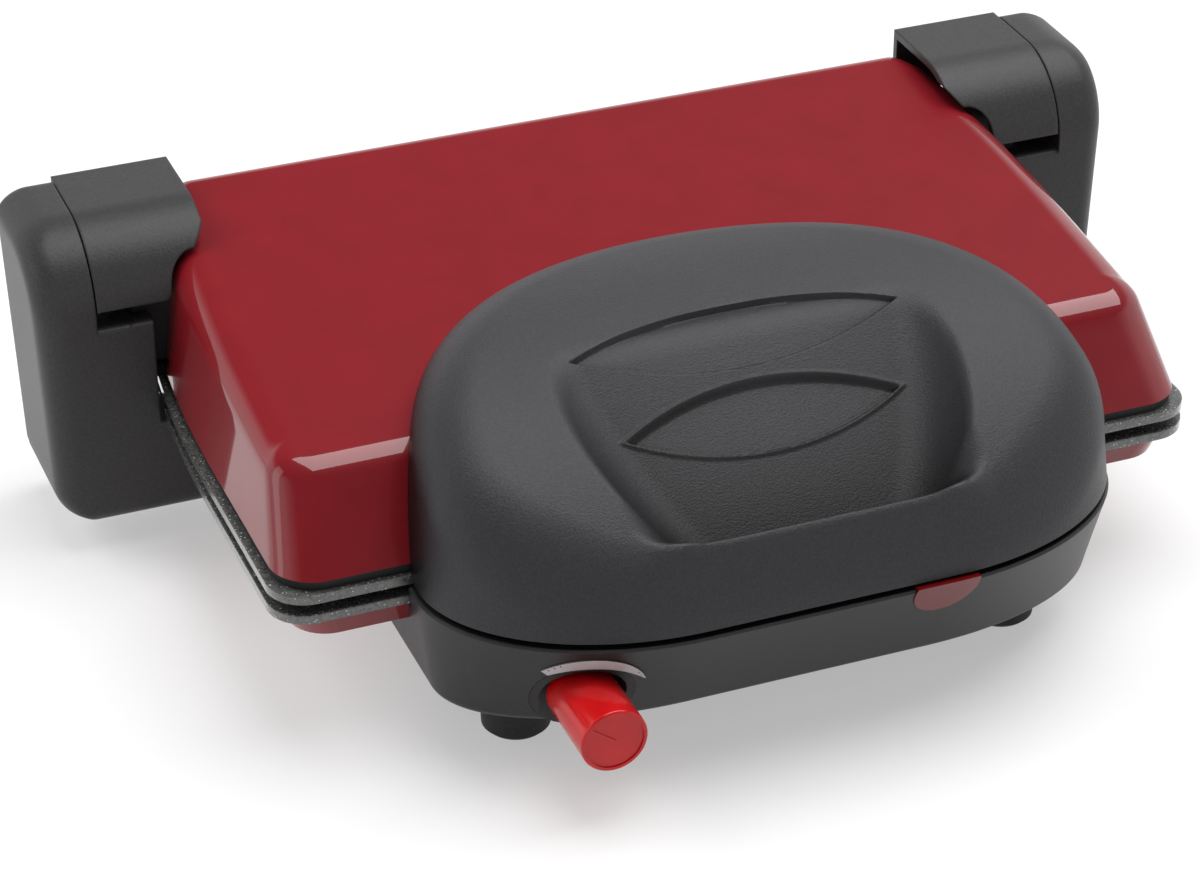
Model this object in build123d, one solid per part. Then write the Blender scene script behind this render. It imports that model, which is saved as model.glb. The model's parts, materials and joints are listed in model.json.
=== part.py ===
"""Contact grill: two ribbed plates in a base and a lid that opens flat on two floating hinges.

All sizes are millimetres. The model is drawn with x = 0 on the middle plane, y = 0 at the front edge
of the plate rims with the front towards -y, and z = 0 on the table. It is moved to the centre of its
footprint when it is written out.
"""

from build123d import *
import math
import os

# Plates: outline seen from above and section
plate_half_width = 172.0
plate_depth = 188.0
plate_waist = 85.0
plate_narrowing = 8.5
plate_corner = 14.0
pan_corner = 7.0
rim_thickness = 3.2
rim_width = 18.0
lower_rim_top = 55.2
rim_gap = 4.4
cooking_recess = 5.0
floor_thickness = 3.6
plate_wall = 3.0
rib_pitch = 12.0
rib_foot = 6.0
rib_crest = 4.0
rib_clearance = 0.6
boss_radius = 5.0
boss_half_span_x = 96.0
boss_front = 62.0
boss_rear = 122.0

# Heating elements and reflectors
element_radius = 3.2
element_clearance = 0.25
element_half_span = 126.0
element_front = 36.0
element_rear = 150.0
element_bend = 16.0
terminal_half_gap = 18.0
terminal_end = 170.0
reflector_inset = 27.0
reflector_depth = 14.0
reflector_wall = 6.0
terminal_notch = 5.0
sheet = 1.0
fuse_radius = 3.0
fuse_length = 22.0

# Lid: outer form, frame between shell and plate
lid_inset = 2.5
lid_front = 2.0
lid_rear = 190.0
lid_top_inset = 9.5
lid_top_front = 25.0
lid_top_rear = 204.0
lid_top_narrowing = 8.5
lid_corner = 16.0
lid_front_height = 98.0
lid_rear_height = 119.5
lid_edge_round = 9.0
shell_wall = 1.6
frame_height = 3.6
frame_setback = 0.8
frame_width = 12.0
frame_front_width = 12.0
frame_step = 3.4
frame_front_step = 8.6
frame_upstand = 6.0
rear_panel_wall = 2.4
rear_panel_top = 106.0
rear_panel_half_width = 134.0

# Base shell: a shallow red pan under the lower plate
pan_inset = 5.0
pan_front = 3.0
pan_rear = 184.0
pan_knee_inset = 8.5
pan_knee_front = 5.0
pan_knee_drop = 9.0
pan_floor_inset = 46.0
pan_floor_front = 44.0
pan_floor_rear = 168.0
pan_floor_height = 20.0
pan_wall = 2.0
hatch_half_width = 104.0
hatch_front = 60.0
hatch_rear = 138.0
hatch_lip = 9.0
hatch_thickness = 2.4
vent_count = 9
vent_width = 3.0
vent_length = 24.0

# Front housing and handle: outline as a flat front, quarter ellipses and straight sides
apron_flat = 45.0
apron_centre = -8.0
apron_reach_x = 82.0
apron_reach_y = 58.0
housing_foot_reach_x = 77.0
housing_foot_reach_y = 38.0
housing_rear = 52.0
housing_bottom = 20.0
housing_top = 59.2
housing_wall = 2.6
housing_lip = 12.0
parting_gap = 2.3
part_clearance = 0.3
handle_setback = 1.0
handle_rear = 108.0
handle_wall = 2.8
handle_lean = 14.0
handle_cover_gap = 0.7
handle_round = 17.0
handle_screw_x = 60.0
handle_screw_front = 52.0
handle_screw_rear = 76.0
crest_height = 124.0
crest_y = 50.0
handle_rear_drop = 8.0
handle_rear_height = crest_height - handle_rear_drop
shoulder_y = 13.0
shoulder_drop = 5.0
shoulder_height = crest_height - shoulder_drop
lip_y = -53.0
lip_height = 91.5
nose_height = 80.0

# Grip pocket behind the front lip of the handle
pocket_rear = 30.0
pocket_rear_half = 76.0
pocket_middle_y = -22.0
pocket_middle_half = 69.0
pocket_front = -46.0
pocket_front_half = 55.0
pocket_slope_y = -2.0
pocket_slope_height = 102.5
pocket_slope_deg = 33.4
pocket_corner = 14.0
pocket_floor_round = 7.0
leaf_depth = 1.0
leaf_rear_y = 21.0
leaf_rear_half = 60.0
leaf_rear_bulge = 11.0
leaf_front_y = -5.0
leaf_front_half = 49.0
leaf_front_bulge = 10.0

# Knob, bezel, scale and thermostat
knob_x = -82.7
knob_z = 34.6
knob_face = -76.0
knob_radius = 11.7
knob_rear = -44.0
knob_wall = 1.6
knob_hub_radius = 5.0
pointer_deg = 143.0
pointer_width = 1.0
bezel_radius = 16.5
bezel_bore = 13.8
bezel_face = -60.0
bezel_floor = -41.0
bezel_floor_thickness = 2.6
shaft_radius = 3.0
shaft_depth = 5.0
running_gap = 0.05
scale_inner = 17.2
scale_outer = 20.2
scale_start_deg = 22.0
scale_end_deg = 150.0
scale_relief = 0.35
thermostat_half_width = 8.6
thermostat_thickness = 12.0

# Indicator
lens_x = 41.3
lens_z = 57.0
lens_radius = 12.0
lens_relief = 0.4
lens_top_gap = 1.0
lamp_radius = 3.2
lamp_length = 11.5
holder_half_width = 6.5

# Hinge: posts, floating pins, arms and covers
hinge_y = 194.0
hinge_z = 64.0
float_travel = 15.0
pin_radius = 5.0
post_outer = 214.3
post_foot_outer = 209.5
post_seam = 191.3
ledge_inner = 177.0
web_inner = 150.0
post_front = 146.4
post_rear = 205.0
post_bottom = 12.0
post_top = 126.0
post_nose_radius = 30.0
post_back_radius = 14.0
post_foot_radius = 6.0
post_side_top_radius = 18.0
post_side_foot_radius = 18.0
post_edge_radius = 7.0
post_rear_edge_radius = 8.0
post_wall = 2.4
ledge_top = 92.3
ledge_knuckle = 33.0
web_rear = 167.0
web_top = 46.0
web_tab_inner = 170.8
web_tab_top = 60.0
slider_half_width = 7.0
slider_height = 14.0
slider_clearance = 0.2
slot_clearance = 0.3
cover_bottom = 99.6
cover_inner = 147.4
cover_wall = 3.0
cover_seam_gap = 0.6
cover_sweep_top = 121.0
cover_sweep_foot = 165.0
lid_shadow_gap = 1.5
arm_inner = 168.5
arm_gap = 0.8
arm_boss_radius = 10.5
ear_height = 6.0
ear_front = 158.0
ear_rear = 182.0

# Rear beam, feet and cord entry
post_screw_y = 157.0
post_screw_z = 24.0
beam_rear = 180.0
beam_top = 40.0
beam_wall = 2.6
foot_radius = 12.0
foot_top_radius = 13.0
front_foot_x = 92.3
front_foot_y = -8.8
rear_foot_radius = 9.0
rear_foot_x = 134.0
rear_foot_y = 168.0
foot_edge = 1.6
foot_pocket = 5.0
screw_radius = 1.75
screw_hole = 1.85
screw_bite = 7.0
screw_boss = 5.0
screw_head_radius = 3.4
screw_head_height = 2.2
grommet_height = 34.0
grommet_radius = 6.5
grommet_bore = 3.6
grommet_stand = 3.0

# Sizes that follow from the ones above
lower_rim_bottom = lower_rim_top - rim_thickness
upper_rim_bottom = lower_rim_top + rim_gap
upper_rim_top = upper_rim_bottom + rim_thickness
parting_height = lower_rim_top + rim_gap / 2
rib_rise = rim_gap / 2 - rib_clearance / 2
pan_top = lower_rim_bottom
lid_bottom = upper_rim_top + frame_height
handle_bottom = housing_top + parting_gap
bezel_back = bezel_floor + bezel_floor_thickness
arm_outer = ledge_inner - arm_gap
cover_outer = post_seam - cover_seam_gap
post_middle_x = (post_seam + post_foot_outer) / 2
footprint_front = knob_face
footprint_rear = post_rear + grommet_stand
origin_y = (footprint_front + footprint_rear) / 2


def outline(inset, front, rear, corner, narrowing=plate_narrowing):
    """Plate-like outline seen from above: straight front, sides that draw in towards the rear."""
    half = plate_half_width - inset
    rear_half = half - narrowing
    with BuildSketch() as sketch:
        with BuildLine():
            Line((-half, front), (half, front))
            for side in (-1, 1):
                Line((side * half, front), (side * half, plate_waist))
                TangentArc((side * half, plate_waist), (side * rear_half, rear), tangent=(0, 1))
            Line((-rear_half, rear), (rear_half, rear))
        make_face()
        fillet(sketch.vertices().group_by(Axis.Y)[0], corner)
        fillet(sketch.vertices().group_by(Axis.Y)[-1], corner)
    return sketch.sketch


def box(x0, x1, y0, y1, z0, z1):
    """Box between two corners."""
    return Pos((x0 + x1) / 2, (y0 + y1) / 2, (z0 + z1) / 2) * Box(x1 - x0, y1 - y0, z1 - z0)


def pair_of(solid):
    """The right-hand solid and its mirror image on the left."""
    return solid, mirror(solid, about=Plane.YZ)


def rod(x, z, radius, y0, y1):
    """Round bar along y between two depths."""
    return Pos(x, (y0 + y1) / 2, z) * Rot(90, 0, 0) * Cylinder(radius, y1 - y0)


def cross_rod(y, z, radius, x0, x1):
    """Round bar along x between two widths."""
    return Pos((x0 + x1) / 2, y, z) * Rot(0, 90, 0) * Cylinder(radius, x1 - x0)


def post_rod(x, y, radius, z0, z1):
    """Upright round bar between two heights."""
    return Pos(x, y, (z0 + z1) / 2) * Cylinder(radius, z1 - z0)


def screw(x, y, seat, length):
    """Upright screw with its head under a seat height."""
    head = post_rod(x, y, screw_head_radius, seat - screw_head_height, seat)
    return head + post_rod(x, y, screw_radius, seat, seat + length)


def side_prism(points, x0, x1):
    """Profile in the y-z plane, pushed along x."""
    face = make_face(Polyline(*[(0, y, z) for y, z in points], close=True))
    return Pos(x0, 0, 0) * extrude(face, x1 - x0, dir=(1, 0, 0))


def boss_spots():
    """Centres of the four bosses under a plate."""
    return [(x, y) for x in (-boss_half_span_x, boss_half_span_x) for y in (boss_front, boss_rear)]


def cooking_plate():
    """Ribbed plate with its cooking face up and its rim top at z = 0."""
    floor = -cooking_recess
    back = floor - floor_thickness
    inset = rim_width + plate_wall
    rim = outline(0, 0, plate_depth, plate_corner)
    pan = outline(rim_width, rim_width, plate_depth - rim_width, pan_corner)
    well = outline(inset, inset, plate_depth - inset, pan_corner - plate_wall)
    plate = Pos(0, 0, -rim_thickness) * extrude(rim, rim_thickness)
    plate += Pos(0, 0, back) * extrude(pan, -back - rim_thickness)
    plate -= Pos(0, 0, floor) * extrude(well, cooking_recess + 1)
    reach = plate_half_width - inset - plate_narrowing - rib_pitch / 2
    ribs = int(reach / rib_pitch)
    rib = Plane.XZ.offset(-inset) * make_face(Polyline(
        (-rib_foot / 2, floor), (rib_foot / 2, floor),
        (rib_crest / 2, rib_rise), (-rib_crest / 2, rib_rise), close=True))
    length = plate_depth - 2 * inset
    for index in range(-ribs, ribs + 1):
        plate += Pos(index * rib_pitch, 0, 0) * extrude(rib, length, dir=(0, 1, 0))
    for x, y in boss_spots():
        plate += post_rod(x, y, boss_radius, -rim_thickness - reflector_depth, back)
        plate -= post_rod(x, y, screw_hole, -rim_thickness - reflector_depth - 1, back)
    return plate


def turn_over(solid):
    """Mirror a lower piece about the parting height, to serve in the lid."""
    return mirror(solid, about=Plane.XY.offset(parting_height))


def lower_plate():
    return Pos(0, 0, lower_rim_top) * cooking_plate()


def heating_element():
    """Tubular element in one loop under the lower plate, both ends at the rear."""
    height = lower_rim_top - cooking_recess - floor_thickness - element_clearance - element_radius
    span, gap = element_half_span, terminal_half_gap
    path = FilletPolyline(
        (gap, terminal_end, height), (gap, element_rear, height), (span, element_rear, height),
        (span, element_front, height), (-span, element_front, height), (-span, element_rear, height),
        (-gap, element_rear, height), (-gap, terminal_end, height), radius=element_bend)
    section = Plane(origin=path @ 0, z_dir=path % 0) * Circle(element_radius)
    return sweep(section, path)


def reflector():
    """Bright tray under the element, screwed to the bosses of the plate."""
    low = lower_rim_bottom - reflector_depth - sheet
    rear = plate_depth - reflector_inset
    tray = outline(reflector_inset, reflector_inset, rear, plate_corner)
    body = Pos(0, 0, low) * extrude(tray, reflector_wall + sheet)
    body -= Pos(0, 0, low + sheet) * extrude(offset(tray, -sheet), reflector_wall + 1)
    notch = terminal_half_gap + terminal_notch
    body -= box(-notch, notch, rear - 2 * sheet, rear + sheet, low + sheet, lower_rim_top)
    for x, y in boss_spots():
        body -= post_rod(x, y, screw_hole, low - 1, lower_rim_top)
    return body


def plate_screws():
    """Four screws that hold the reflector on the bosses of the plate."""
    seat = lower_rim_bottom - reflector_depth - sheet
    return Part() + [screw(x, y, seat, screw_bite) for x, y in boss_spots()]


def thermal_fuse():
    """Cut-out held under the lower reflector."""
    z = lower_rim_bottom - reflector_depth - sheet - fuse_radius - 0.2
    return cross_rod((boss_front + boss_rear) / 2, z, fuse_radius, -fuse_length / 2, fuse_length / 2)


def lid_top_plane(drop):
    """Sloping plane of the lid's top, lowered by a wall."""
    rise = (lid_rear_height - lid_front_height) / (lid_top_rear - lid_top_front)
    tilt = math.degrees(math.atan(rise))
    height = lid_front_height - rise * lid_top_front - drop
    return Plane.XY.move(Location((0, 0, height), (tilt, 0, 0)))


def lid_block(inset, rounding):
    """Solid form of the lid, drawn in by a wall, with its top edge rounded."""
    foot = Pos(0, 0, lid_bottom) * outline(
        lid_inset + inset, lid_front + inset, lid_rear - inset, lid_corner - inset)
    top = lid_top_plane(inset) * outline(
        lid_top_inset + inset, lid_top_front + inset, lid_top_rear - inset, lid_corner - inset,
        lid_top_narrowing)
    block = loft([foot, top], ruled=True)
    upper = block.faces().sort_by(Axis.Z)[-1]
    return fillet(upper.edges(), rounding)


def rear_panel_zone():
    """Space behind the lid shell that the rear panel fills."""
    lean = (lid_top_rear - lid_rear) / (lid_rear_height - lid_bottom)
    inner_foot = lid_rear - rear_panel_wall
    inner_top = inner_foot + lean * (rear_panel_top - lid_bottom)
    half = rear_panel_half_width
    return side_prism([(inner_foot, lid_bottom - 1), (lid_top_rear + 9, lid_bottom - 1),
                       (lid_top_rear + 9, rear_panel_top), (inner_top, rear_panel_top)], -half, half)


def lid_shell():
    """Red outer shell of the lid, open below and at the rear, where the panel goes."""
    shell = lid_block(0, lid_edge_round) - lid_block(shell_wall, lid_edge_round - shell_wall)
    shell -= box(-plate_half_width, plate_half_width, -9, plate_depth + 20, 0, lid_bottom + 0.01)
    for x, y in handle_screw_spots():
        shell -= lid_top_plane(0) * post_rod(x, y, screw_hole, -3, 3)
    return shell - rear_panel_zone()


def handle_screw_spots():
    """Centres of the four handle screws on the lid's top plane."""
    return [(x, y) for x in (-handle_screw_x, handle_screw_x)
            for y in (handle_screw_front, handle_screw_rear)]


def lid_rear_panel():
    """Panel that closes the back of the lid, with two rows of vents."""
    inner = lid_block(rear_panel_wall, lid_edge_round - rear_panel_wall)
    panel = (lid_block(0, lid_edge_round) - inner) & rear_panel_zone()
    for index in range(-vent_count + 1, vent_count):
        x = index * 4 * vent_width
        panel -= box(x - vent_width / 2, x + vent_width / 2, lid_rear - 20, lid_top_rear + 20,
                     lid_bottom + 10, lid_bottom + 10 + vent_length)
    return panel


def lid_frame():
    """Ring that seats on the plate rim and carries the shell and the hinge arms."""
    def ring(inset, front):
        return outline(lid_inset + inset, lid_front + front, lid_rear - inset, lid_corner - inset)

    low = upper_rim_top
    bore = Pos(0, 0, low - 1) * extrude(
        ring(frame_width, frame_front_width), frame_height + frame_upstand + 2)
    frame = Pos(0, 0, low) * extrude(ring(frame_setback, frame_setback), frame_height)
    frame += Pos(0, 0, lid_bottom) * extrude(ring(frame_step, frame_front_step), frame_upstand)
    lip_half = plate_half_width - lid_inset - plate_narrowing - frame_width + 1
    for ear in pair_of(box(lip_half, arm_outer, ear_front, ear_rear, low, lid_bottom)):
        frame += ear
    frame -= bore
    for ear in pair_of(box(arm_inner, arm_outer, ear_front, ear_rear, low, low + ear_height)):
        frame += ear
    for x, y in arm_screw_spots():
        frame -= post_rod(x, y, screw_hole, low - 1, low + ear_height + 1)
        frame -= post_rod(x, y, screw_head_radius + 0.2, low - 1, low + screw_head_height)
    return frame


def arm_screw_spots():
    """Centres of the screws under the two ears of the frame."""
    middle = (arm_inner + arm_outer) / 2
    inset = screw_head_radius + 2
    return [(x, y) for x in (-middle, middle) for y in (ear_front + inset, ear_rear - inset)]


def pan_block(grow):
    """Solid form of the base shell, grown outwards by a distance."""
    top = Pos(0, 0, pan_top) * outline(
        pan_inset - grow, pan_front - grow, pan_rear + grow, plate_corner + grow)
    knee = Pos(0, 0, pan_top - pan_knee_drop - grow * 0.4) * outline(
        pan_knee_inset - grow, pan_knee_front - grow, pan_rear - 3 + grow, plate_corner + grow)
    floor = Pos(0, 0, pan_floor_height - grow) * outline(
        pan_floor_inset - grow, pan_floor_front - grow, pan_floor_rear + grow, plate_corner + grow)
    return loft([floor, knee, top], ruled=True)


def base_shell():
    """Red pan under the lower plate, open above, with a hatch in its floor."""
    shell = pan_block(0) - pan_block(-pan_wall)
    shell -= box(-plate_half_width, plate_half_width, -9, plate_depth + 20, pan_top - 0.01, pan_top + 30)
    for x, y in hatch_screw_spots():
        shell -= post_rod(x, y, screw_hole, pan_floor_height - 1, pan_floor_height + pan_wall + 1)
    return shell - box(-hatch_half_width + hatch_lip, hatch_half_width - hatch_lip,
                       hatch_front + hatch_lip, hatch_rear - hatch_lip,
                       pan_floor_height - 3, pan_floor_height + pan_wall + 3)


def hatch_screw_spots():
    """Centres of the four hatch screws."""
    edge = hatch_lip / 2
    return [(x, y) for x in (-hatch_half_width + edge, hatch_half_width - edge)
            for y in (hatch_front + edge, hatch_rear - edge)]


def base_hatch():
    """Service hatch under the base, with air slots."""
    low = pan_floor_height - hatch_thickness
    with BuildSketch() as sketch:
        with Locations((0, (hatch_front + hatch_rear) / 2)):
            RectangleRounded(2 * hatch_half_width, hatch_rear - hatch_front, hatch_lip / 2)
            with GridLocations(4 * vent_width, vent_length + 8, vent_count, 2):
                SlotOverall(vent_length, vent_width, rotation=90, mode=Mode.SUBTRACT)
        with Locations(*hatch_screw_spots()):
            Circle(screw_hole, mode=Mode.SUBTRACT)
    return Pos(0, 0, low) * extrude(sketch.sketch, hatch_thickness)


def hatch_screws():
    """Four screws of the hatch."""
    seat = pan_floor_height - hatch_thickness
    return Part() + [screw(x, y, seat, screw_bite) for x, y in hatch_screw_spots()]


def apron(reach_x, reach_y, rear, inset):
    """Outline of the front housing: flat front, quarter ellipses, straight sides to the rear."""
    half = apron_flat + reach_x - inset
    front = apron_centre - reach_y + inset
    with BuildSketch() as sketch:
        with BuildLine():
            Line((-apron_flat, front), (apron_flat, front))
            EllipticalCenterArc((apron_flat, apron_centre), reach_x - inset, reach_y - inset,
                                -90, arc_size=90)
            Line((half, apron_centre), (half, rear - inset))
            Line((half, rear - inset), (-half, rear - inset))
            Line((-half, rear - inset), (-half, apron_centre))
            EllipticalCenterArc((-apron_flat, apron_centre), reach_x - inset, reach_y - inset,
                                180, arc_size=90)
        make_face()
    return sketch.sketch


def housing_block(inset, foot, top):
    """Solid form of the front housing between two heights, drawn in by a wall."""
    def section(height):
        share = (height - housing_bottom) / (housing_top - housing_bottom)
        reach_x = housing_foot_reach_x + share * (apron_reach_x - housing_foot_reach_x)
        reach_y = housing_foot_reach_y + share * (apron_reach_y - housing_foot_reach_y)
        return Pos(0, 0, height) * apron(reach_x, reach_y, housing_rear, inset)
    return loft([section(foot), section(top)], ruled=True)


def rim_zone(gap):
    """Space that the plate rims need in front of and under them."""
    return box(-plate_half_width - 9, plate_half_width + 9, -gap, plate_depth,
               lower_rim_bottom - gap, upper_rim_top + 60)


def front_housing():
    """Dark housing under the handle, for the thermostat and the indicator."""
    body = housing_block(0, housing_bottom, housing_top)
    body = chamfer(body.faces().sort_by(Axis.Z)[-1].edges(), 0.9)
    lower_edges = body.faces().sort_by(Axis.Z)[0].edges().filter_by(lambda e: e.center().Y < apron_centre)
    body = fillet(lower_edges, 4)
    cavity = housing_block(housing_wall, housing_bottom + housing_wall, housing_top - housing_wall)
    cavity -= pan_block(housing_wall)
    cavity -= box(-200, 200, -sheet - housing_wall, 200,
                  lower_rim_bottom - sheet - housing_wall, housing_top)
    for x in (-front_foot_x, front_foot_x):
        cavity -= post_rod(x, front_foot_y, screw_boss, 0, housing_top)
        cavity += post_rod(x, front_foot_y, screw_hole, 0, housing_bottom + 2 * screw_bite)
    body -= cavity
    body -= housing_block(housing_lip, housing_bottom - 1, housing_bottom + housing_wall + 0.01)
    body -= pan_block(0)
    body -= rim_zone(sheet)
    body -= rod(knob_x, knob_z, bezel_radius, knob_face, bezel_back)
    body -= lens_bar(0)
    return body


def housing_floor():
    """Cover in the underside of the front housing."""
    floor = housing_block(housing_lip + part_clearance, housing_bottom, housing_bottom + housing_wall)
    floor -= pan_block(part_clearance)
    for x in (-front_foot_x, front_foot_x):
        floor -= post_rod(x, front_foot_y, screw_hole, 0, housing_top)
    return floor


def lens_bar(gap):
    """Round bar through the housing's front wall, where the indicator lens sits."""
    depth = housing_wall + 12
    front = apron_centre - apron_reach_y - 3
    return rod(lens_x, lens_z, lens_radius + gap, front, front + depth)


def indicator_lens():
    """Curved red lens in the top edge of the housing."""
    top = housing_top + lens_top_gap
    front = housing_block(-lens_relief, housing_bottom, top)
    return (front - housing_block(housing_wall, housing_bottom - 1, top + 1)) & lens_bar(0)


def lamp_holder():
    """Block under the housing's deck that holds the lamp."""
    top = housing_top - housing_wall
    back = apron_centre - apron_reach_y + housing_wall + 18
    block = box(lens_x - holder_half_width, lens_x + holder_half_width, back - 9, back,
                top - 2 * holder_half_width, top)
    return block - rod(lens_x, top - holder_half_width, lamp_radius, back - 20, back + 20)


def indicator_lamp():
    """Small glow lamp behind the lens."""
    top = housing_top - housing_wall
    back = apron_centre - apron_reach_y + housing_wall + 18
    return rod(lens_x, top - holder_half_width, lamp_radius, back - lamp_length, back)


def dial_bezel():
    """Collar round the knob, set into the sloping front of the housing."""
    collar = rod(knob_x, knob_z, bezel_radius, bezel_face, bezel_back)
    collar = chamfer(collar.faces().sort_by(Axis.Y)[0].edges(), 0.6)
    collar -= rod(knob_x, knob_z, bezel_bore, bezel_face - 1, bezel_floor)
    return collar - rod(knob_x, knob_z, shaft_radius + running_gap, bezel_face, bezel_back + 1)


def dial_scale():
    """Silver crescent on the housing above the knob."""
    skin = housing_block(-scale_relief, housing_bottom, housing_top - 1)
    skin -= housing_block(0, housing_bottom - 1, housing_top + 1)
    with BuildSketch(Plane.XZ) as sketch:
        with BuildLine():
            start, end = scale_start_deg, scale_end_deg
            outer = CenterArc((knob_x, knob_z), scale_outer, start, end - start)
            middle = math.radians((start + end) / 2 + 12)
            crown = (knob_x + scale_inner * math.cos(middle), knob_z + scale_inner * math.sin(middle))
            ThreePointArc(outer @ 1, crown, outer @ 0)
        make_face()
    sector = extrude(sketch.sketch, 80)
    return skin & sector


def thermostat():
    """Thermostat behind the bezel."""
    w = thermostat_half_width
    body = box(knob_x - w, knob_x + w, bezel_back, bezel_back + thermostat_thickness,
               knob_z - w, knob_z + w)
    body = fillet(body.edges().filter_by(Axis.Y), 3)
    blades = box(knob_x - 7, knob_x - 4, bezel_back + thermostat_thickness,
                 bezel_back + thermostat_thickness + 7, knob_z - 3, knob_z + 3)
    blades += Pos(11, 0, 0) * blades
    return body + blades - rod(knob_x, knob_z, shaft_radius + running_gap, bezel_back - 1,
                               bezel_back + shaft_depth)


def thermostat_knob():
    """Translucent cup-shaped knob with a pointer on its face."""
    knob = rod(knob_x, knob_z, knob_radius, knob_face, knob_rear)
    knob = fillet(knob.faces().sort_by(Axis.Y)[0].edges(), 1.0)
    ring = rod(knob_x, knob_z, knob_radius - knob_wall, knob_face + 2.6, knob_rear + 1)
    ring -= rod(knob_x, knob_z, knob_hub_radius, knob_face, knob_rear + 2)
    knob -= ring
    knob -= rod(knob_x, knob_z, knob_radius - knob_wall, knob_face - 1, knob_face + 0.5)
    line = box(0, knob_radius - 1.2, knob_face + 0.1, knob_face + 0.5,
               -pointer_width / 2, pointer_width / 2)
    knob += Pos(knob_x, 0, knob_z) * Rot(0, -pointer_deg, 0) * line
    return knob - rod(knob_x, knob_z, shaft_radius, knob_face + 4, knob_rear + 1)


def knob_shaft():
    """Shaft from the knob into the thermostat."""
    return rod(knob_x, knob_z, shaft_radius, knob_face + 4, bezel_back + shaft_depth - 0.3)


def handle_outline(inset):
    """Handle seen from above: the front of the housing and an elliptical rear."""
    reach_x = apron_reach_x - handle_setback - inset
    reach_y = apron_reach_y - handle_setback - inset
    half = apron_flat + reach_x
    front = apron_centre - reach_y
    depth = handle_rear - apron_centre - inset
    with BuildSketch() as sketch:
        with BuildLine():
            Line((-apron_flat, front), (apron_flat, front))
            EllipticalCenterArc((apron_flat, apron_centre), reach_x, reach_y, -90, arc_size=90)
            EllipticalCenterArc((0, apron_centre), half, depth, 0, arc_size=180)
            EllipticalCenterArc((-apron_flat, apron_centre), reach_x, reach_y, 180, arc_size=90)
        make_face()
    return sketch.sketch


def handle_profile(drop):
    """Space under the handle's top surface, seen from the side."""
    front = apron_centre - apron_reach_y - 8
    rear = handle_rear + 8
    with BuildSketch(Plane.YZ) as sketch:
        with BuildLine():
            top = Spline((front, nose_height - 8 - drop), (lip_y, lip_height - drop),
                         (shoulder_y, shoulder_height - drop), (crest_y, crest_height - drop),
                         (rear, handle_rear_height - drop))
            Polyline(top @ 1, (rear, 0), (front, 0), top @ 0)
        make_face()
    return Pos(-plate_half_width, 0, 0) * extrude(sketch.sketch, 2 * plate_half_width)


def pocket_block(grow):
    """Grip pocket above its sloping floor, grown outwards by a wall."""
    points = [(pocket_rear_half, pocket_rear), (pocket_middle_half, pocket_middle_y),
              (pocket_front_half, pocket_front)]
    ring = [(x + grow, y + (grow if y == pocket_rear else -grow)) for x, y in points]
    ring[1] = (pocket_middle_half + grow, pocket_middle_y)
    ring += [(-x, y) for x, y in reversed(ring)]
    with BuildSketch() as sketch:
        with BuildLine():
            Polyline(*ring, close=True)
        make_face()
        fillet(sketch.vertices(), pocket_corner)
    column = Pos(0, 0, housing_top) * extrude(sketch.sketch, crest_height)
    floor = pocket_floor(grow) * Box(4 * plate_half_width, 4 * plate_half_width, 2 * crest_height,
                                     align=(Align.CENTER, Align.CENTER, Align.MAX))
    block = column - floor
    low = block.faces().sort_by(Axis.Z)[0]
    return fillet(low.edges(), pocket_floor_round)


def pocket_floor(drop):
    """Plane of the pocket's sloping floor, with its origin on the middle line."""
    return Plane.XY.move(Location(
        (0, pocket_slope_y, pocket_slope_height - drop / math.cos(math.radians(pocket_slope_deg))),
        (pocket_slope_deg, 0, 0)))


def leaf(centre_y, half, bulge):
    """Shallow lens-shaped hollow in the pocket's floor."""
    along = (centre_y - pocket_slope_y) / math.cos(math.radians(pocket_slope_deg))
    with BuildSketch() as sketch:
        with BuildLine():
            ThreePointArc((-half, along), (0, along + bulge), (half, along))
            ThreePointArc((half, along), (0, along - bulge), (-half, along))
        make_face()
        fillet(sketch.vertices(), 1.5)
    return pocket_floor(0) * Pos(0, 0, -leaf_depth) * extrude(sketch.sketch, 2 * leaf_depth)


def handle_block(inset):
    """Solid form of the handle without its pocket, drawn in by a wall."""
    foot = Pos(0, 0, handle_bottom - inset) * handle_outline(inset)
    top = Pos(0, 0, handle_bottom + crest_height) * handle_outline(inset + handle_lean)
    block = loft([foot, top], ruled=True) & handle_profile(inset)
    return fillet(block.faces().sort_by(Axis.Z)[-1].edges(), handle_round - inset)


def handle_shell():
    """Hollow handle with its grip pocket, over the front of the lid."""
    shell = handle_block(0) - (handle_block(handle_wall) - pocket_block(handle_wall))
    for x, y in handle_screw_spots():
        boss = lid_top_plane(0) * post_rod(x, y, screw_boss, -3, 4 * screw_bite)
        shell += boss & handle_block(1)
        shell -= lid_top_plane(0) * post_rod(x, y, screw_hole, -3, screw_bite + 1)
    shell -= pocket_block(0)
    shell -= leaf(leaf_rear_y, leaf_rear_half, leaf_rear_bulge)
    shell -= leaf(leaf_front_y, leaf_front_half, leaf_front_bulge)
    shell -= lid_block(-0.2, lid_edge_round)
    shell -= box(-plate_half_width, plate_half_width, -sheet, plate_depth, 0, lid_bottom + 0.4)
    return shell


def handle_cover():
    """Flat cover in the underside of the handle."""
    cover = Pos(0, 0, handle_bottom) * extrude(handle_outline(handle_wall + handle_cover_gap), 2)
    return cover - box(-plate_half_width, plate_half_width, -1.6, plate_depth, 0, lid_bottom + 20)


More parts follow.
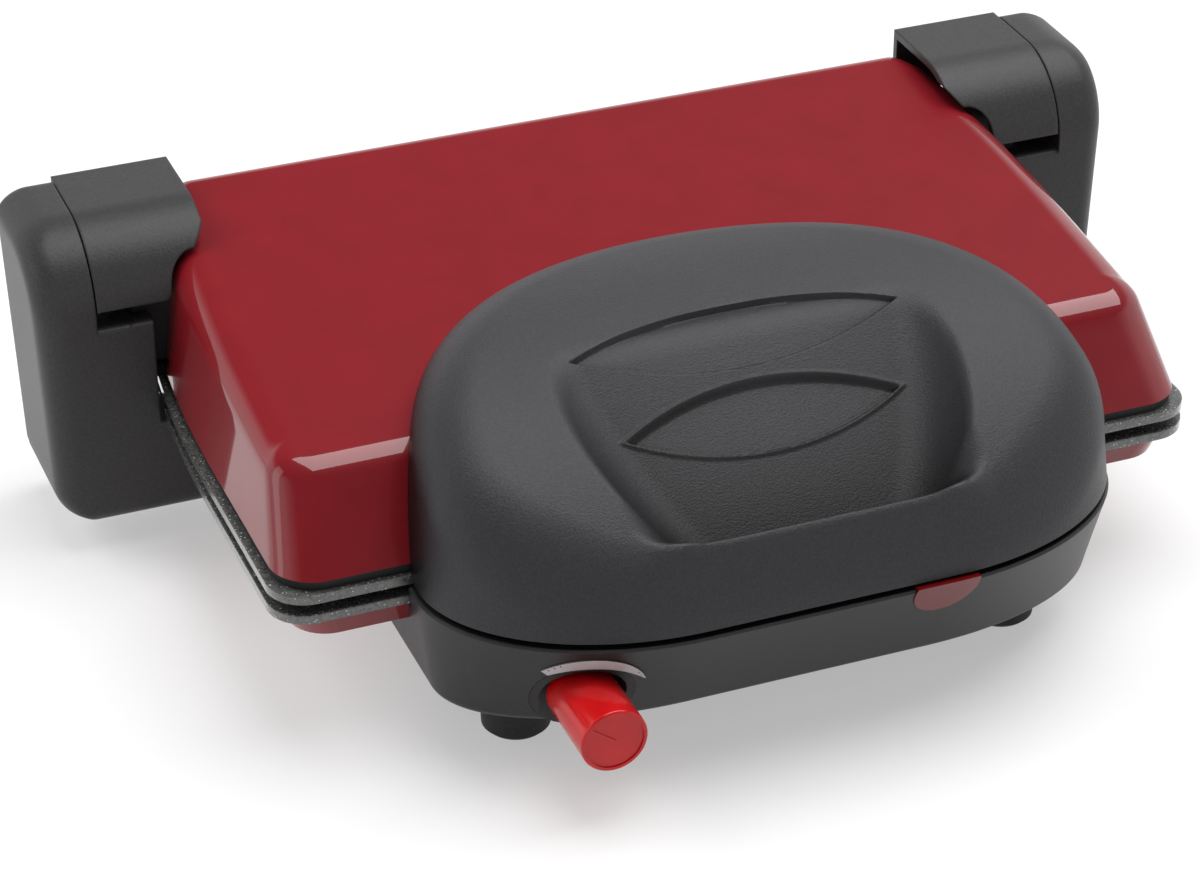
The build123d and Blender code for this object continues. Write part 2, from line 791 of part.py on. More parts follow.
def post_side_profile(wall):
    """Hinge post seen from the side, drawn in by a wall."""
    front, rear = post_front + wall, post_rear - wall
    low, high = post_bottom + wall, post_top - wall
    with BuildSketch() as sketch:
        with BuildLine():
            Polyline((front, low), (front, high), (rear, high), (rear, low), close=True)
        make_face()
        corners = sketch.vertices()
        feet = corners.group_by(Axis.Y)[0]
        nose, back = corners.group_by(Axis.Y)[-1].sort_by(Axis.X)
        fillet(nose, post_nose_radius - wall)
        fillet(back, post_back_radius - wall)
        fillet(feet, post_foot_radius - wall)
    return Plane.YZ * sketch.sketch


def post_front_profile(wall):
    """Outer half of the post seen from the front: drafted side, rounded top and foot."""
    inner = post_seam + wall
    low, high = post_bottom + wall, post_top - wall
    with BuildSketch() as sketch:
        with BuildLine():
            Polyline((inner, low), (post_foot_outer - wall, low), (post_outer - wall, high),
                     (inner, high), close=True)
        make_face()
        foot_corner, top_corner = sketch.vertices().group_by(Axis.X)[-2] + sketch.vertices().group_by(
            Axis.X)[-1]
        fillet(top_corner, post_side_top_radius - wall)
        fillet(foot_corner, post_side_foot_radius - 2 * wall)
    return Plane.XZ * sketch.sketch


def post_shell_block(wall):
    """Outer half of the hinge post as a solid, drawn in by a wall."""
    front_form = Pos(0, post_rear, 0) * extrude(post_front_profile(wall), 2 * post_rear)
    side_form = extrude(post_side_profile(wall), 2 * plate_half_width)
    return front_form & side_form


def ledge_block():
    """Inner half of the post under the moving cover, cut back where the cover swings past."""
    ledge = side_prism([(post_front, post_bottom), (post_front, ledge_top), (post_rear, ledge_top),
                        (post_rear, post_bottom)], ledge_inner, post_seam)
    ledge += box(web_inner, ledge_inner, post_front, web_rear, post_bottom, web_top)
    ledge += box(web_tab_inner, ledge_inner, post_front, web_rear - 6, web_top, web_tab_top)
    low_front = ledge.edges().filter_by(Axis.X).group_by(Axis.Z)[0].group_by(Axis.Y)[0]
    ledge = fillet(low_front, post_foot_radius)
    reach = hinge_z + float_travel - ledge_knuckle
    ledge -= side_prism([(hinge_y - 11.5, reach), (post_rear + 9, reach), (post_rear + 9, 0),
                         (web_rear + 2, 0)], 0, post_seam)
    return ledge


def hinge_post():
    """Right hinge post: hollow outer half, ledge, slot for the floating pin and web to the base."""
    low = hinge_z - slider_height / 2 - slider_clearance
    high = hinge_z + float_travel + slider_height / 2 + slider_clearance
    half = slider_half_width + slider_clearance
    pin_half = pin_radius + slot_clearance
    post = post_shell_block(0)
    edge = post.edges().filter_by(lambda e: e.center().X > post_seam + 4 and e.center().Y < hinge_y - 20)
    post = fillet(edge, post_edge_radius)
    edge = post.edges().filter_by(
        lambda e: e.center().X > post_seam + 4 and e.center().Y > post_rear - post_back_radius)
    post = fillet(edge, post_rear_edge_radius)
    post += ledge_block()
    post -= post_shell_block(post_wall)
    post -= back_cover_zone(0)
    post -= box(ledge_inner + post_wall + 0.6, post_seam + post_wall + 1, hinge_y - half, hinge_y + half,
                low, high)
    slot = cross_rod(hinge_y, hinge_z, pin_half, ledge_inner - 1, post_seam)
    slot += cross_rod(hinge_y, hinge_z + float_travel, pin_half, ledge_inner - 1, post_seam)
    slot += box(ledge_inner - 1, post_seam, hinge_y - pin_half, hinge_y + pin_half,
                hinge_z, hinge_z + float_travel)
    post -= slot
    post -= box(web_inner + beam_wall, ledge_inner - beam_wall, post_front + post_foot_radius,
                web_rear - beam_wall, post_bottom - 1, web_top - 14)
    post -= cross_rod(post_screw_y, post_screw_z, screw_hole, web_inner - 1, web_inner + beam_wall + 1)
    post -= pan_block(0)
    return post


def back_cover_zone(gap):
    """Window in the back of the post, where its cover goes."""
    return box(post_seam + post_wall + gap, post_foot_outer - post_rear_edge_radius - gap,
               post_rear - post_wall, post_rear + 2, grommet_height + 2 * grommet_radius + gap,
               post_top - post_side_top_radius - gap)


def post_back_cover():
    """Cover in the back of the right post."""
    return back_cover_zone(0.15) & box(post_seam, post_outer, 0, post_rear, 0, post_top)


def cover_profile(wall):
    """Hinge cover seen from the side: the upper part of the post's profile."""
    above = Plane.YZ * Pos(hinge_y, (cover_bottom + 2 * post_top) / 2) * Rectangle(
        200, 2 * post_top - cover_bottom)
    return post_side_profile(wall) & above


def hinge_cover():
    """Right hinge cover: a curved shell that turns with the lid, open towards it."""
    outer = Pos(cover_inner, 0, 0) * extrude(cover_profile(0), cover_outer - cover_inner)
    inner = Pos(cover_inner - 1, 0, 0) * extrude(
        cover_profile(cover_wall), cover_outer - cover_inner + 1 - cover_wall)
    inner -= box(0, 300, 0, 300, 0, cover_bottom - 1)
    cover = outer - inner
    cover -= box(0, cover_outer - cover_wall, post_front + cover_wall, post_rear - cover_wall,
                 cover_bottom - 5, cover_bottom + 5)
    sweep_cut = Plane.XZ * make_face(Polyline(
        (cover_inner - 20, cover_sweep_top), (cover_inner, cover_sweep_top),
        (cover_sweep_foot, cover_bottom), (cover_sweep_foot, cover_bottom - 9),
        (cover_inner - 20, cover_bottom - 9), close=True))
    cover -= extrude(sweep_cut, -(hinge_y - 14))
    return cover - lid_block(-lid_shadow_gap, lid_edge_round)


def hinge_arm():
    """Right hinge arm: from the lid's frame to the floating pin, under the cover."""
    base = upper_rim_top + ear_height
    roof = post_top - cover_wall
    points = [(ear_front, base), (ear_rear, base), (hinge_y - 4, hinge_z), (hinge_y + 8, hinge_z),
              (post_rear - cover_wall - 2, roof - 14), (post_rear - post_back_radius - 1, roof),
              (post_front + post_nose_radius, roof), (post_front + 12, roof - 16),
              (post_front + 8, cover_bottom)]
    arm = side_prism(points, arm_inner, arm_outer)
    arm += cross_rod(hinge_y, hinge_z, arm_boss_radius, arm_inner, arm_outer)
    window = side_prism([(172, base + 8), (188, base + 8), (190, roof - 20), (168, roof - 20)],
                        arm_inner - 1, arm_inner + 4)
    arm -= fillet(window.edges().filter_by(Axis.X), 3)
    for x, y in arm_screw_spots():
        if x > 0:
            arm -= post_rod(x, y, screw_hole, base - 1, base + screw_bite)
    return arm - cross_rod(hinge_y, hinge_z, pin_radius + running_gap, arm_inner - 1, arm_outer + 1)


def hinge_pin():
    """Right pin, with a head inside the arm."""
    head = cross_rod(hinge_y, hinge_z, pin_radius + 2.5, arm_inner - 2.8, arm_inner - 0.2)
    return head + cross_rod(hinge_y, hinge_z, pin_radius, arm_inner - 0.3, post_seam - 1.0)


def hinge_slider():
    """Right block that slides up and down in the post and holds the pin."""
    block = box(ledge_inner + post_wall + 0.8, post_seam - 1.0, hinge_y - slider_half_width,
                hinge_y + slider_half_width, hinge_z - slider_height / 2, hinge_z + slider_height / 2)
    block = chamfer(block.edges().filter_by(Axis.X), 1)
    return block - cross_rod(hinge_y, hinge_z, pin_radius + 0.02, ledge_inner, post_seam)


def rear_beam():
    """Beam between the two posts, under the rear of the pan, open below."""
    beam = box(-web_inner, web_inner, post_front, beam_rear, post_bottom, beam_top)
    beam -= side_prism([(web_rear + 1, 0), (hinge_y - 11.5, beam_top + 9), (hinge_y + 9, beam_top + 9),
                        (hinge_y + 9, 0)], cover_inner - 2, web_inner + 1)
    beam -= side_prism([(web_rear + 1, 0), (hinge_y - 11.5, beam_top + 9), (hinge_y + 9, beam_top + 9),
                        (hinge_y + 9, 0)], -web_inner - 1, -cover_inner + 2)
    hollow = box(-web_inner + beam_wall, web_inner - beam_wall, post_front + beam_wall,
                 beam_rear - beam_wall - 8, post_bottom + beam_wall, beam_top - beam_wall)
    beam -= hollow - pan_block(beam_wall)
    beam -= pan_block(0)
    for x in (-rear_foot_x, rear_foot_x):
        beam -= post_rod(x, rear_foot_y, screw_hole, 0, post_bottom + screw_bite)
    for side in (-1, 1):
        ends = sorted((side * (web_inner - 2 * beam_wall), side * (web_inner + 1)))
        beam -= cross_rod(post_screw_y, post_screw_z, screw_hole, *ends)
    return beam


def foot(x, y, radius, top_radius, height):
    """Round rubber foot with a pocket for its screw."""
    with BuildSketch(Plane.XZ) as sketch:
        with BuildLine():
            Polyline((0, 0), (radius - foot_edge, 0), (radius, foot_edge), (top_radius, height),
                     (0, height), close=True)
        make_face()
    body = revolve(sketch.sketch, Axis.Z)
    body -= post_rod(0, 0, foot_pocket, -1, height - 3)
    body -= post_rod(0, 0, screw_hole, -1, height + 1)
    return Pos(x, y, 0) * body


def foot_screws():
    """Four screws, one in the pocket of each foot."""
    spots = [(x, front_foot_y, housing_bottom) for x in (-front_foot_x, front_foot_x)]
    spots += [(x, rear_foot_y, post_bottom) for x in (-rear_foot_x, rear_foot_x)]
    return Part() + [screw(x, y, top - 3, 3 + beam_wall + 2) for x, y, top in spots]


def post_screws():
    """One screw from each post into the end of the beam."""
    seat = web_inner + beam_wall
    right = cross_rod(post_screw_y, post_screw_z, screw_head_radius, seat, seat + screw_head_height)
    right += cross_rod(post_screw_y, post_screw_z, screw_radius, web_inner - 2 * beam_wall, seat)
    return Part() + list(pair_of(right))


def terminal_block():
    """Connector block on the floor of the pan."""
    low = pan_floor_height + pan_wall
    block = box(-24, 24, pan_floor_rear - 26, pan_floor_rear - 12, low, low + 10)
    for index in range(3):
        block -= post_rod(-16 + 16 * index, pan_floor_rear - 19, 3.2, low + 3, low + 11)
    return block


def cord_grommet():
    """Rubber ring in the back of the right post, where the supply cord enters."""
    front = post_rear - post_wall
    ring = rod(post_middle_x, grommet_height, grommet_radius, front, post_rear)
    ring += rod(post_middle_x, grommet_height, grommet_radius + 1.5, post_rear, footprint_rear)
    ring = fillet(ring.faces().sort_by(Axis.Y)[-1].edges(), 1)
    return ring - rod(post_middle_x, grommet_height, grommet_bore, front - 1, footprint_rear + 1)


def handle_screws():
    """Four screws from inside the lid into the handle."""
    plane = lid_top_plane(0)
    return Part() + [plane * screw(x, y, -shell_wall, shell_wall + screw_bite)
                     for x, y in handle_screw_spots()]


def arm_screws():
    """Screws that hold each arm on the frame's ears."""
    seat = upper_rim_top + screw_head_height
    return Part() + [screw(x, y, seat, ear_height + 2) for x, y in arm_screw_spots()]


def build_parts():
    """Every node by name, in the drawing frame."""
    post_right, post_left = pair_of(hinge_post())
    back_right, back_left = pair_of(post_back_cover())
    cover_right, cover_left = pair_of(hinge_cover())
    arm_right, arm_left = pair_of(hinge_arm())
    pin_right, pin_left = pair_of(hinge_pin())
    slider_right, slider_left = pair_of(hinge_slider())
    post_right -= rod(post_middle_x, grommet_height, grommet_radius, post_rear - 9, footprint_rear)
    front_foot = (front_foot_y, foot_radius, foot_top_radius, housing_bottom)
    rear_foot = (rear_foot_y, rear_foot_radius, rear_foot_radius, post_bottom)
    return {
        "base_shell": base_shell(),
        "base_hatch": base_hatch(),
        "hatch_screws": hatch_screws(),
        "front_housing": front_housing(),
        "housing_floor": housing_floor(),
        "indicator_lens": indicator_lens(),
        "indicator_lamp": indicator_lamp(),
        "lamp_holder": lamp_holder(),
        "dial_bezel": dial_bezel(),
        "dial_scale": dial_scale(),
        "thermostat": thermostat(),
        "thermostat_knob": thermostat_knob(),
        "knob_shaft": knob_shaft(),
        "hinge_post_right": post_right,
        "hinge_post_left": post_left,
        "post_back_cover_right": back_right,
        "post_back_cover_left": back_left,
        "rear_beam": rear_beam(),
        "cord_grommet": cord_grommet(),
        "terminal_block": terminal_block(),
        "lower_plate": lower_plate(),
        "lower_element": heating_element(),
        "lower_reflector": reflector(),
        "lower_plate_screws": plate_screws(),
        "thermal_fuse": thermal_fuse(),
        "foot_front_left": foot(-front_foot_x, *front_foot),
        "foot_front_right": foot(front_foot_x, *front_foot),
        "foot_rear_left": foot(-rear_foot_x, *rear_foot),
        "foot_rear_right": foot(rear_foot_x, *rear_foot),
        "foot_screws": foot_screws(),
        "post_screws": post_screws(),
        "hinge_pin_right": pin_right,
        "hinge_pin_left": pin_left,
        "hinge_slider_right": slider_right,
        "hinge_slider_left": slider_left,
        "lid_shell": lid_shell(),
        "lid_rear_panel": lid_rear_panel(),
        "lid_frame": lid_frame(),
        "upper_plate": turn_over(lower_plate()),
        "upper_element": turn_over(heating_element()),
        "upper_reflector": turn_over(reflector()),
        "upper_plate_screws": turn_over(plate_screws()),
        "handle_shell": handle_shell(),
        "handle_cover": handle_cover(),
        "handle_screws": handle_screws(),
        "hinge_arm_right": arm_right,
        "hinge_arm_left": arm_left,
        "arm_screws": arm_screws(),
        "hinge_cover_right": cover_right,
        "hinge_cover_left": cover_left,
    }


os.makedirs("parts", exist_ok=True)
for node, shape in build_parts().items():
    export_step(Pos(0, -origin_y, 0) * shape, f"parts/{node}.step")
    print(node, round(shape.volume / 1000, 2), "cm3")
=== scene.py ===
"""Looks of the contact grill: finishes, smooth outer shells, floor, light and camera."""

import json
import math

import bmesh
import bpy
from mathutils import Matrix, Vector

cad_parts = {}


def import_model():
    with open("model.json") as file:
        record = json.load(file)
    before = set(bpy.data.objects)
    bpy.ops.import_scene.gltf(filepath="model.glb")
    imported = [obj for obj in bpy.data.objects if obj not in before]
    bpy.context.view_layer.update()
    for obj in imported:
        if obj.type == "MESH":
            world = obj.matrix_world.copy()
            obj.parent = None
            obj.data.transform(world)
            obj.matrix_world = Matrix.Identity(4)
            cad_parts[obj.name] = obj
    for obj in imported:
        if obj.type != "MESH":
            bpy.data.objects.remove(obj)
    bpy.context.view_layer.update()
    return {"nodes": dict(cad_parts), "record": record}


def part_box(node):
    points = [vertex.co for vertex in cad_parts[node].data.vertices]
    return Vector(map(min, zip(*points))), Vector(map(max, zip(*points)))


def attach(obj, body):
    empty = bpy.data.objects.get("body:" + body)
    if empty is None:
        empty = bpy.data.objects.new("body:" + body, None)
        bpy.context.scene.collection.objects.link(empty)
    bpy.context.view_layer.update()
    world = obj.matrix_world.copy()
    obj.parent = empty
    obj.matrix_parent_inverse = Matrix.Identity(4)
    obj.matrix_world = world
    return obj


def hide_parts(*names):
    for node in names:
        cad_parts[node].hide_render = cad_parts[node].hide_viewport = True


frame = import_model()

MM = 0.001
nodes = frame["nodes"]
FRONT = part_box("lower_plate")[0].y / MM


def at(x, y, z):
    """A point in metres from millimetres; y counts from the front edge of the plate rims."""
    return Vector((x, y + FRONT, z)) * MM


# Materials

def material(name):
    """A new node material with its shader and an object-space coordinate node."""
    made = bpy.data.materials.new(name)
    made.use_nodes = True
    tree = made.node_tree
    shader = tree.nodes["Principled BSDF"]
    place = tree.nodes.new("ShaderNodeTexCoord")
    return made, tree, shader, place.outputs["Object"]


def tune(node, values):
    """Set a node's inputs by name."""
    for name, value in values.items():
        node.inputs[name].default_value = value


def noise(tree, place, scale, detail=2.0, roughness=0.5):
    """Noise texture on the object's own coordinates, in cells per metre."""
    node = tree.nodes.new("ShaderNodeTexNoise")
    tune(node, {"Scale": scale, "Detail": detail, "Roughness": roughness})
    tree.links.new(place, node.inputs["Vector"])
    return node.outputs["Fac"]


def cells(tree, place, scale):
    """Distance to the nearest cell centre, for a number of cells per metre."""
    node = tree.nodes.new("ShaderNodeTexVoronoi")
    node.inputs["Scale"].default_value = scale
    tree.links.new(place, node.inputs["Vector"])
    return node.outputs["Distance"]


def ramp(tree, factor, stops):
    """Colour ramp through the given (place, colour) stops."""
    node = tree.nodes.new("ShaderNodeValToRGB")
    elements = node.color_ramp.elements
    while len(elements) < len(stops):
        elements.new(0.5)
    for element, (place, colour) in zip(elements, stops):
        element.position = place
        element.color = (*colour, 1.0)
    tree.links.new(factor, node.inputs["Fac"])
    return node.outputs["Color"]


def blended(tree, blend, factor, a, b):
    """Two colours mixed by a blend type."""
    node = tree.nodes.new("ShaderNodeMix")
    node.data_type = "RGBA"
    node.blend_type = blend
    node.inputs["Factor"].default_value = factor
    tree.links.new(a, node.inputs["A"])
    tree.links.new(b, node.inputs["B"])
    return node.outputs["Result"]


BEVEL_SAMPLES = 6
HOLLOW_SAMPLES = 8


def bump(tree, shader, height, strength, distance, easing=0.0):
    """Bump the shader's normal by a height, over edges eased by a radius in metres."""
    node = tree.nodes.new("ShaderNodeBump")
    if easing:
        edge = tree.nodes.new("ShaderNodeBevel")
        edge.samples = BEVEL_SAMPLES
        edge.inputs["Radius"].default_value = easing
        tree.links.new(edge.outputs["Normal"], node.inputs["Normal"])
    tune(node, {"Strength": strength, "Distance": distance})
    tree.links.new(height, node.inputs["Height"])
    tree.links.new(node.outputs["Normal"], shader.inputs["Normal"])


def shades(colour, low, high):
    """A colour made darker and lighter, as the two stops of a ramp."""
    return [(0.3, tuple(c * low for c in colour)), (0.7, tuple(c * high for c in colour))]


def lacquer(name, colour):
    """Deep gloss lacquer over primer: an even colour under a clear coat with a slight orange peel."""
    made, tree, shader, place = material(name)
    tone = ramp(tree, noise(tree, place, 60, 3), shades(colour, 0.94, 1.06))
    tree.links.new(tone, shader.inputs["Base Color"])
    tune(shader, {"Roughness": 0.4, "Specular IOR Level": 0.08, "Coat Weight": 1.0,
                  "Coat Roughness": 0.035})
    bump(tree, shader, noise(tree, place, 420, 1), 0.03, 0.0004)
    return made


def painted_recess_shade(tree, tone, reach):
    """A colour with painted shade that darkens it in hollows, out to a reach in metres."""
    hollow = tree.nodes.new("ShaderNodeAmbientOcclusion")
    hollow.samples = HOLLOW_SAMPLES
    hollow.inputs["Distance"].default_value = reach
    # Painted shade: where occlusion is strong, the colour falls to 8 percent of its own tone.
    share = ramp(tree, hollow.outputs["AO"], [(0.80, (0.08, 0.08, 0.08)), (0.97, (1.0, 1.0, 1.0))])
    return blended(tree, "MULTIPLY", 1.0, tone, share)


def moulded(name, colour, roughness, grain, depth, easing=0.0, reach=0.0):
    """Moulded plastic with an eroded grain; it may have eased edges and painted shade in its hollows."""
    made, tree, shader, place = material(name)
    tone = ramp(tree, noise(tree, place, grain * 0.7, 4, 0.65), shades(colour, 0.8, 1.25))
    if reach:
        tone = painted_recess_shade(tree, tone, reach)
    tree.links.new(tone, shader.inputs["Base Color"])
    tune(shader, {"Roughness": roughness, "Specular IOR Level": 0.26})
    bump(tree, shader, noise(tree, place, grain, 3, 0.6), depth, 0.0005, easing)
    return made


def granite(name):
    """Dark non-stick coat with pale and grey flecks."""
    made, tree, shader, place = material(name)
    ground = ramp(tree, noise(tree, place, 900, 5, 0.75),
                  [(0.35, (0.030, 0.033, 0.031)), (0.65, (0.125, 0.132, 0.124))])
    flecks = ramp(tree, cells(tree, place, 620), [(0.12, (0.55, 0.57, 0.54)), (0.22, (0.0, 0.0, 0.0))])
    tree.links.new(blended(tree, "ADD", 0.75, ground, flecks), shader.inputs["Base Color"])
    tune(shader, {"Roughness": 0.25, "Coat Weight": 1.0, "Coat Roughness": 0.15})
    bump(tree, shader, noise(tree, place, 700, 2), 0.15, 0.0003, 0.0013)
    return made


def steel(name, colour, roughness, brushed):
    """Steel with fine drawn lines."""
    made, tree, shader, place = material(name)
    stretch = tree.nodes.new("ShaderNodeMapping")
    stretch.inputs["Scale"].default_value = (1, brushed, brushed)
    tree.links.new(place, stretch.inputs["Vector"])
    streaks = noise(tree, stretch.outputs["Vector"], 120, 3)
    tree.links.new(ramp(tree, streaks, shades(colour, 0.85, 1.1)), shader.inputs["Base Color"])
    tune(shader, {"Metallic": 1.0, "Roughness": roughness})
    bump(tree, shader, streaks, 0.08, 0.0002)
    return made


def tinted(name, colour, transmission):
    """Polished tinted plastic that light enters."""
    made, tree, shader, place = material(name)
    tone = ramp(tree, noise(tree, place, 90, 2), shades(colour, 0.9, 1.1))
    tree.links.new(tone, shader.inputs["Base Color"])
    tune(shader, {"Roughness": 0.16, "Specular IOR Level": 0.25, "IOR": 1.49,
                  "Transmission Weight": transmission, "Coat Weight": 0.15, "Coat Roughness": 0.05})
    return made


def smooth_solid(name, colour, roughness):
    """Fine smooth finish for ceramic, glass and printed metal, with faint mottling."""
    made, tree, shader, place = material(name)
    tree.links.new(ramp(tree, noise(tree, place, 200, 2), shades(colour, 0.94, 1.05)),
                   shader.inputs["Base Color"])
    shader.inputs["Roughness"].default_value = roughness
    bump(tree, shader, noise(tree, place, 900, 2), 0.05, 0.0002)
    return made


SLOTS = {
    "red_lacquer": lacquer("red_lacquer", (0.20, 0.009, 0.014)),
    # The handle's charcoal has painted shade in its hollows, out to 6 cm.
    "handle_charcoal": moulded("handle_charcoal", (0.032, 0.032, 0.036), 0.4, 1500, 0.5, 0.0, 0.06),
    "housing_grey": moulded("housing_grey", (0.019, 0.019, 0.020), 0.38, 1600, 0.2, 0.0008),
    "post_grey": moulded("post_grey", (0.036, 0.035, 0.036), 0.38, 1400, 0.25, 0.0012),
    "inner_black": moulded("inner_black", (0.018, 0.018, 0.018), 0.5, 1200, 0.2),
    "granite_coat": granite("granite_coat"),
    "element_steel": steel("element_steel", (0.25, 0.24, 0.23), 0.5, 1.0),
    "reflector_sheet": steel("reflector_sheet", (0.75, 0.75, 0.73), 0.3, 6.0),
    "screw_steel": steel("screw_steel", (0.6, 0.6, 0.6), 0.3, 3.0),
    "knob_red": tinted("knob_red", (0.66, 0.008, 0.010), 0.2),
    "lens_red": tinted("lens_red", (0.17, 0.006, 0.008), 0.2),
    "dial_silver": smooth_solid("dial_silver", (0.5, 0.5, 0.52), 0.3),
    "lamp_glass": tinted("lamp_glass", (0.9, 0.6, 0.4), 0.8),
    "ceramic_white": smooth_solid("ceramic_white", (0.8, 0.79, 0.75), 0.4),
    "foot_rubber": moulded("foot_rubber", (0.02, 0.02, 0.02), 0.6, 900, 0.3),
}


def dress(obj, slot):
    """Give an object one of the record's finishes."""
    obj.data.materials.clear()
    obj.data.materials.append(SLOTS[slot])


for row in frame["record"]["subparts"]:
    dress(nodes[row["node"]], row["material_slot"])


# Mesh helpers

SHARP_ANGLE = 35.0
CIRCLE_STEPS = 40
# Cutters reach past the faces they open by one of these two, in millimetres.
PAST = 1.0
FAR_PAST = 9.0


def new_piece(name, mesh, slot, body, *replaced):
    """Put a mesh in the scene as a smooth piece that rides on a body and stands for CAD nodes."""
    piece = bpy.data.objects.new(name, mesh)
    bpy.context.scene.collection.objects.link(piece)
    mesh.shade_smooth()
    mesh.set_sharp_from_angle(angle=math.radians(SHARP_ANGLE))
    dress(piece, slot)
    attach(piece, body)
    if replaced:
        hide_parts(*replaced)


def skin(name, loops, last_cap=True):
    """Mesh through loops of points with equal counts, in millimetres, capped at its ends."""
    grid = bmesh.new()
    rows = [[grid.verts.new(at(*point)) for point in loop] for loop in loops]
    count = len(rows[0])
    for lower, upper in zip(rows, rows[1:]):
        for index in range(count):
            after = (index + 1) % count
            grid.faces.new((lower[index], lower[after], upper[after], upper[index]))
    grid.faces.new(list(reversed(rows[0])))
    if last_cap:
        grid.faces.new(rows[-1])
    mesh = bpy.data.meshes.new(name)
    grid.to_mesh(mesh)
    grid.free()
    return mesh


def cut(mesh, cutter_mesh, operation="DIFFERENCE"):
    """The mesh with another one taken away, or with another operation between them."""
    solid = bpy.data.objects.new("solid", mesh)
    cutter = bpy.data.objects.new("cutter", cutter_mesh)
    for obj in (solid, cutter):
        bpy.context.scene.collection.objects.link(obj)
    tool = solid.modifiers.new("cut", "BOOLEAN")
    tool.operation = operation
    tool.solver = "EXACT"
    tool.object = cutter
    bpy.context.view_layer.update()
    graph = bpy.context.evaluated_depsgraph_get()
    result = bpy.data.meshes.new_from_object(solid.evaluated_get(graph))
    for obj in (solid, cutter):
        bpy.data.objects.remove(obj)
    return result


def block(x0, x1, y0, y1, z0, z1):
    """Box mesh between two corners, for cutting."""
    corners = [(x0, y0), (x1, y0), (x1, y1), (x0, y1)]
    return skin("block", [[(x, y, z) for x, y in corners] for z in (z0, z1)])


def ellipse(centre, reach_x, reach_y, start, end, steps):
    """Points on an ellipse from one angle to another, both ends in, in degrees."""
    angles = [math.radians(start + (end - start) * k / steps) for k in range(steps + 1)]
    return [(centre[0] + reach_x * math.cos(a), centre[1] + reach_y * math.sin(a)) for a in angles]


def arc(centre, radius, start, end, steps):
    """Points on a circle from one angle to another, both ends in, in degrees."""
    return ellipse(centre, radius, radius, start, end, steps)


def circle(centre, radius):
    """Points once round a circle."""
    return arc(centre, radius, 0, 360, CIRCLE_STEPS)[:-1]


def prism(profile, x0, x1):
    """Mesh of an anticlockwise y-z outline pushed along x."""
    return skin("prism", [[(x, y, z) for y, z in profile] for x in (x0, x1)])


def prism_along_y(profile, y0, y1):
    """Mesh of an anticlockwise x-z outline pushed along y."""
    return skin("prism", [[(x, y, z) for x, z in reversed(profile)] for y in (y0, y1)])


def clamped(value):
    """A value held between 0 and 1."""
    return min(max(value, 0.0), 1.0)


def line(a, b, steps):
    """Points between two ends, without the ends."""
    return [(a[0] + (b[0] - a[0]) * k / steps, a[1] + (b[1] - a[1]) * k / steps)
            for k in range(1, steps)]


# Lid shell

WAIST = 85.0
LID_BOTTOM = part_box("lid_shell")[0].z / MM
LID_FOOT = {"half": 169.5, "narrowing": 8.5, "front": 2.0, "rear": 190.0}
LID_TOP = {"half": 162.5, "narrowing": 8.5, "front": 25.0, "rear": 204.0}
LID_CORNER = 16.0
LID_FRONT_HEIGHT = 98.0
LID_REAR_HEIGHT = 119.5
LID_ROUNDING = 13.0
LID_REAR_ROUNDING = 6.0
LID_SLOPE = (LID_REAR_HEIGHT - LID_FRONT_HEIGHT) / (LID_TOP["rear"] - LID_TOP["front"])
LID_WALL = 1.6
LID_WALL_STEPS = 8
LID_ROUNDING_STEPS = 12
PANEL_WALL = 2.4
EDGE_STEPS = 16
CORNER_STEPS = 14
SIDE_STEPS = 40


def plate_outline(half, narrowing, front, rear, corner):
    """Outline with rounded corners whose sides draw in behind the waist, from the front middle round."""
    length = rear - WAIST
    bend = (length * length + narrowing * narrowing) / (2 * narrowing)

    def side(y):
        past = max(0.0, y - WAIST)
        return half - (bend - math.sqrt(bend * bend - past * past))

    rear_side = side(rear - corner)
    right = [(0, front)] + line((0, front), (half - corner, front), EDGE_STEPS)
    right += arc((half - corner, front + corner), corner, -90, 0, CORNER_STEPS)
    right += [(side(y), y) for _, y in line((0, front + corner), (0, rear - corner), SIDE_STEPS)]
    right += arc((rear_side - corner, rear - corner), corner, 0, 90, CORNER_STEPS)
    right += line((rear_side - corner, rear), (0, rear), EDGE_STEPS) + [(0, rear)]
    left = [(-x, y) for x, y in reversed(right[1:-1])]
    return right + left


def inward(points):
    """Unit vectors that point into a closed outline given anticlockwise."""
    count = len(points)
    result = []
    for index in range(count):
        before, after = points[index - 1], points[(index + 1) % count]
        along = Vector((after[0] - before[0], after[1] - before[1])).normalized()
        result.append(Vector((-along.y, along.x)))
    return result


def rounded_path(foot, top, inner, radius):
    """Points up a wall from foot to top, round the edge and on towards the inside."""
    down = (foot - top).normalized()
    across = inner.normalized()
    half_angle = down.angle(across) / 2
    reach = radius / math.tan(half_angle)
    start, end = top + down * reach, top + across * reach
    centre = top + (down + across).normalized() * (radius / math.sin(half_angle))
    first, last = start - centre, end - centre
    path = [foot.lerp(start, k / LID_WALL_STEPS) for k in range(LID_WALL_STEPS)]
    path += [centre + first.slerp(last, k / LID_ROUNDING_STEPS).normalized() * radius
             for k in range(LID_ROUNDING_STEPS + 1)]
    path.append(end + across * radius / 4)
    return path


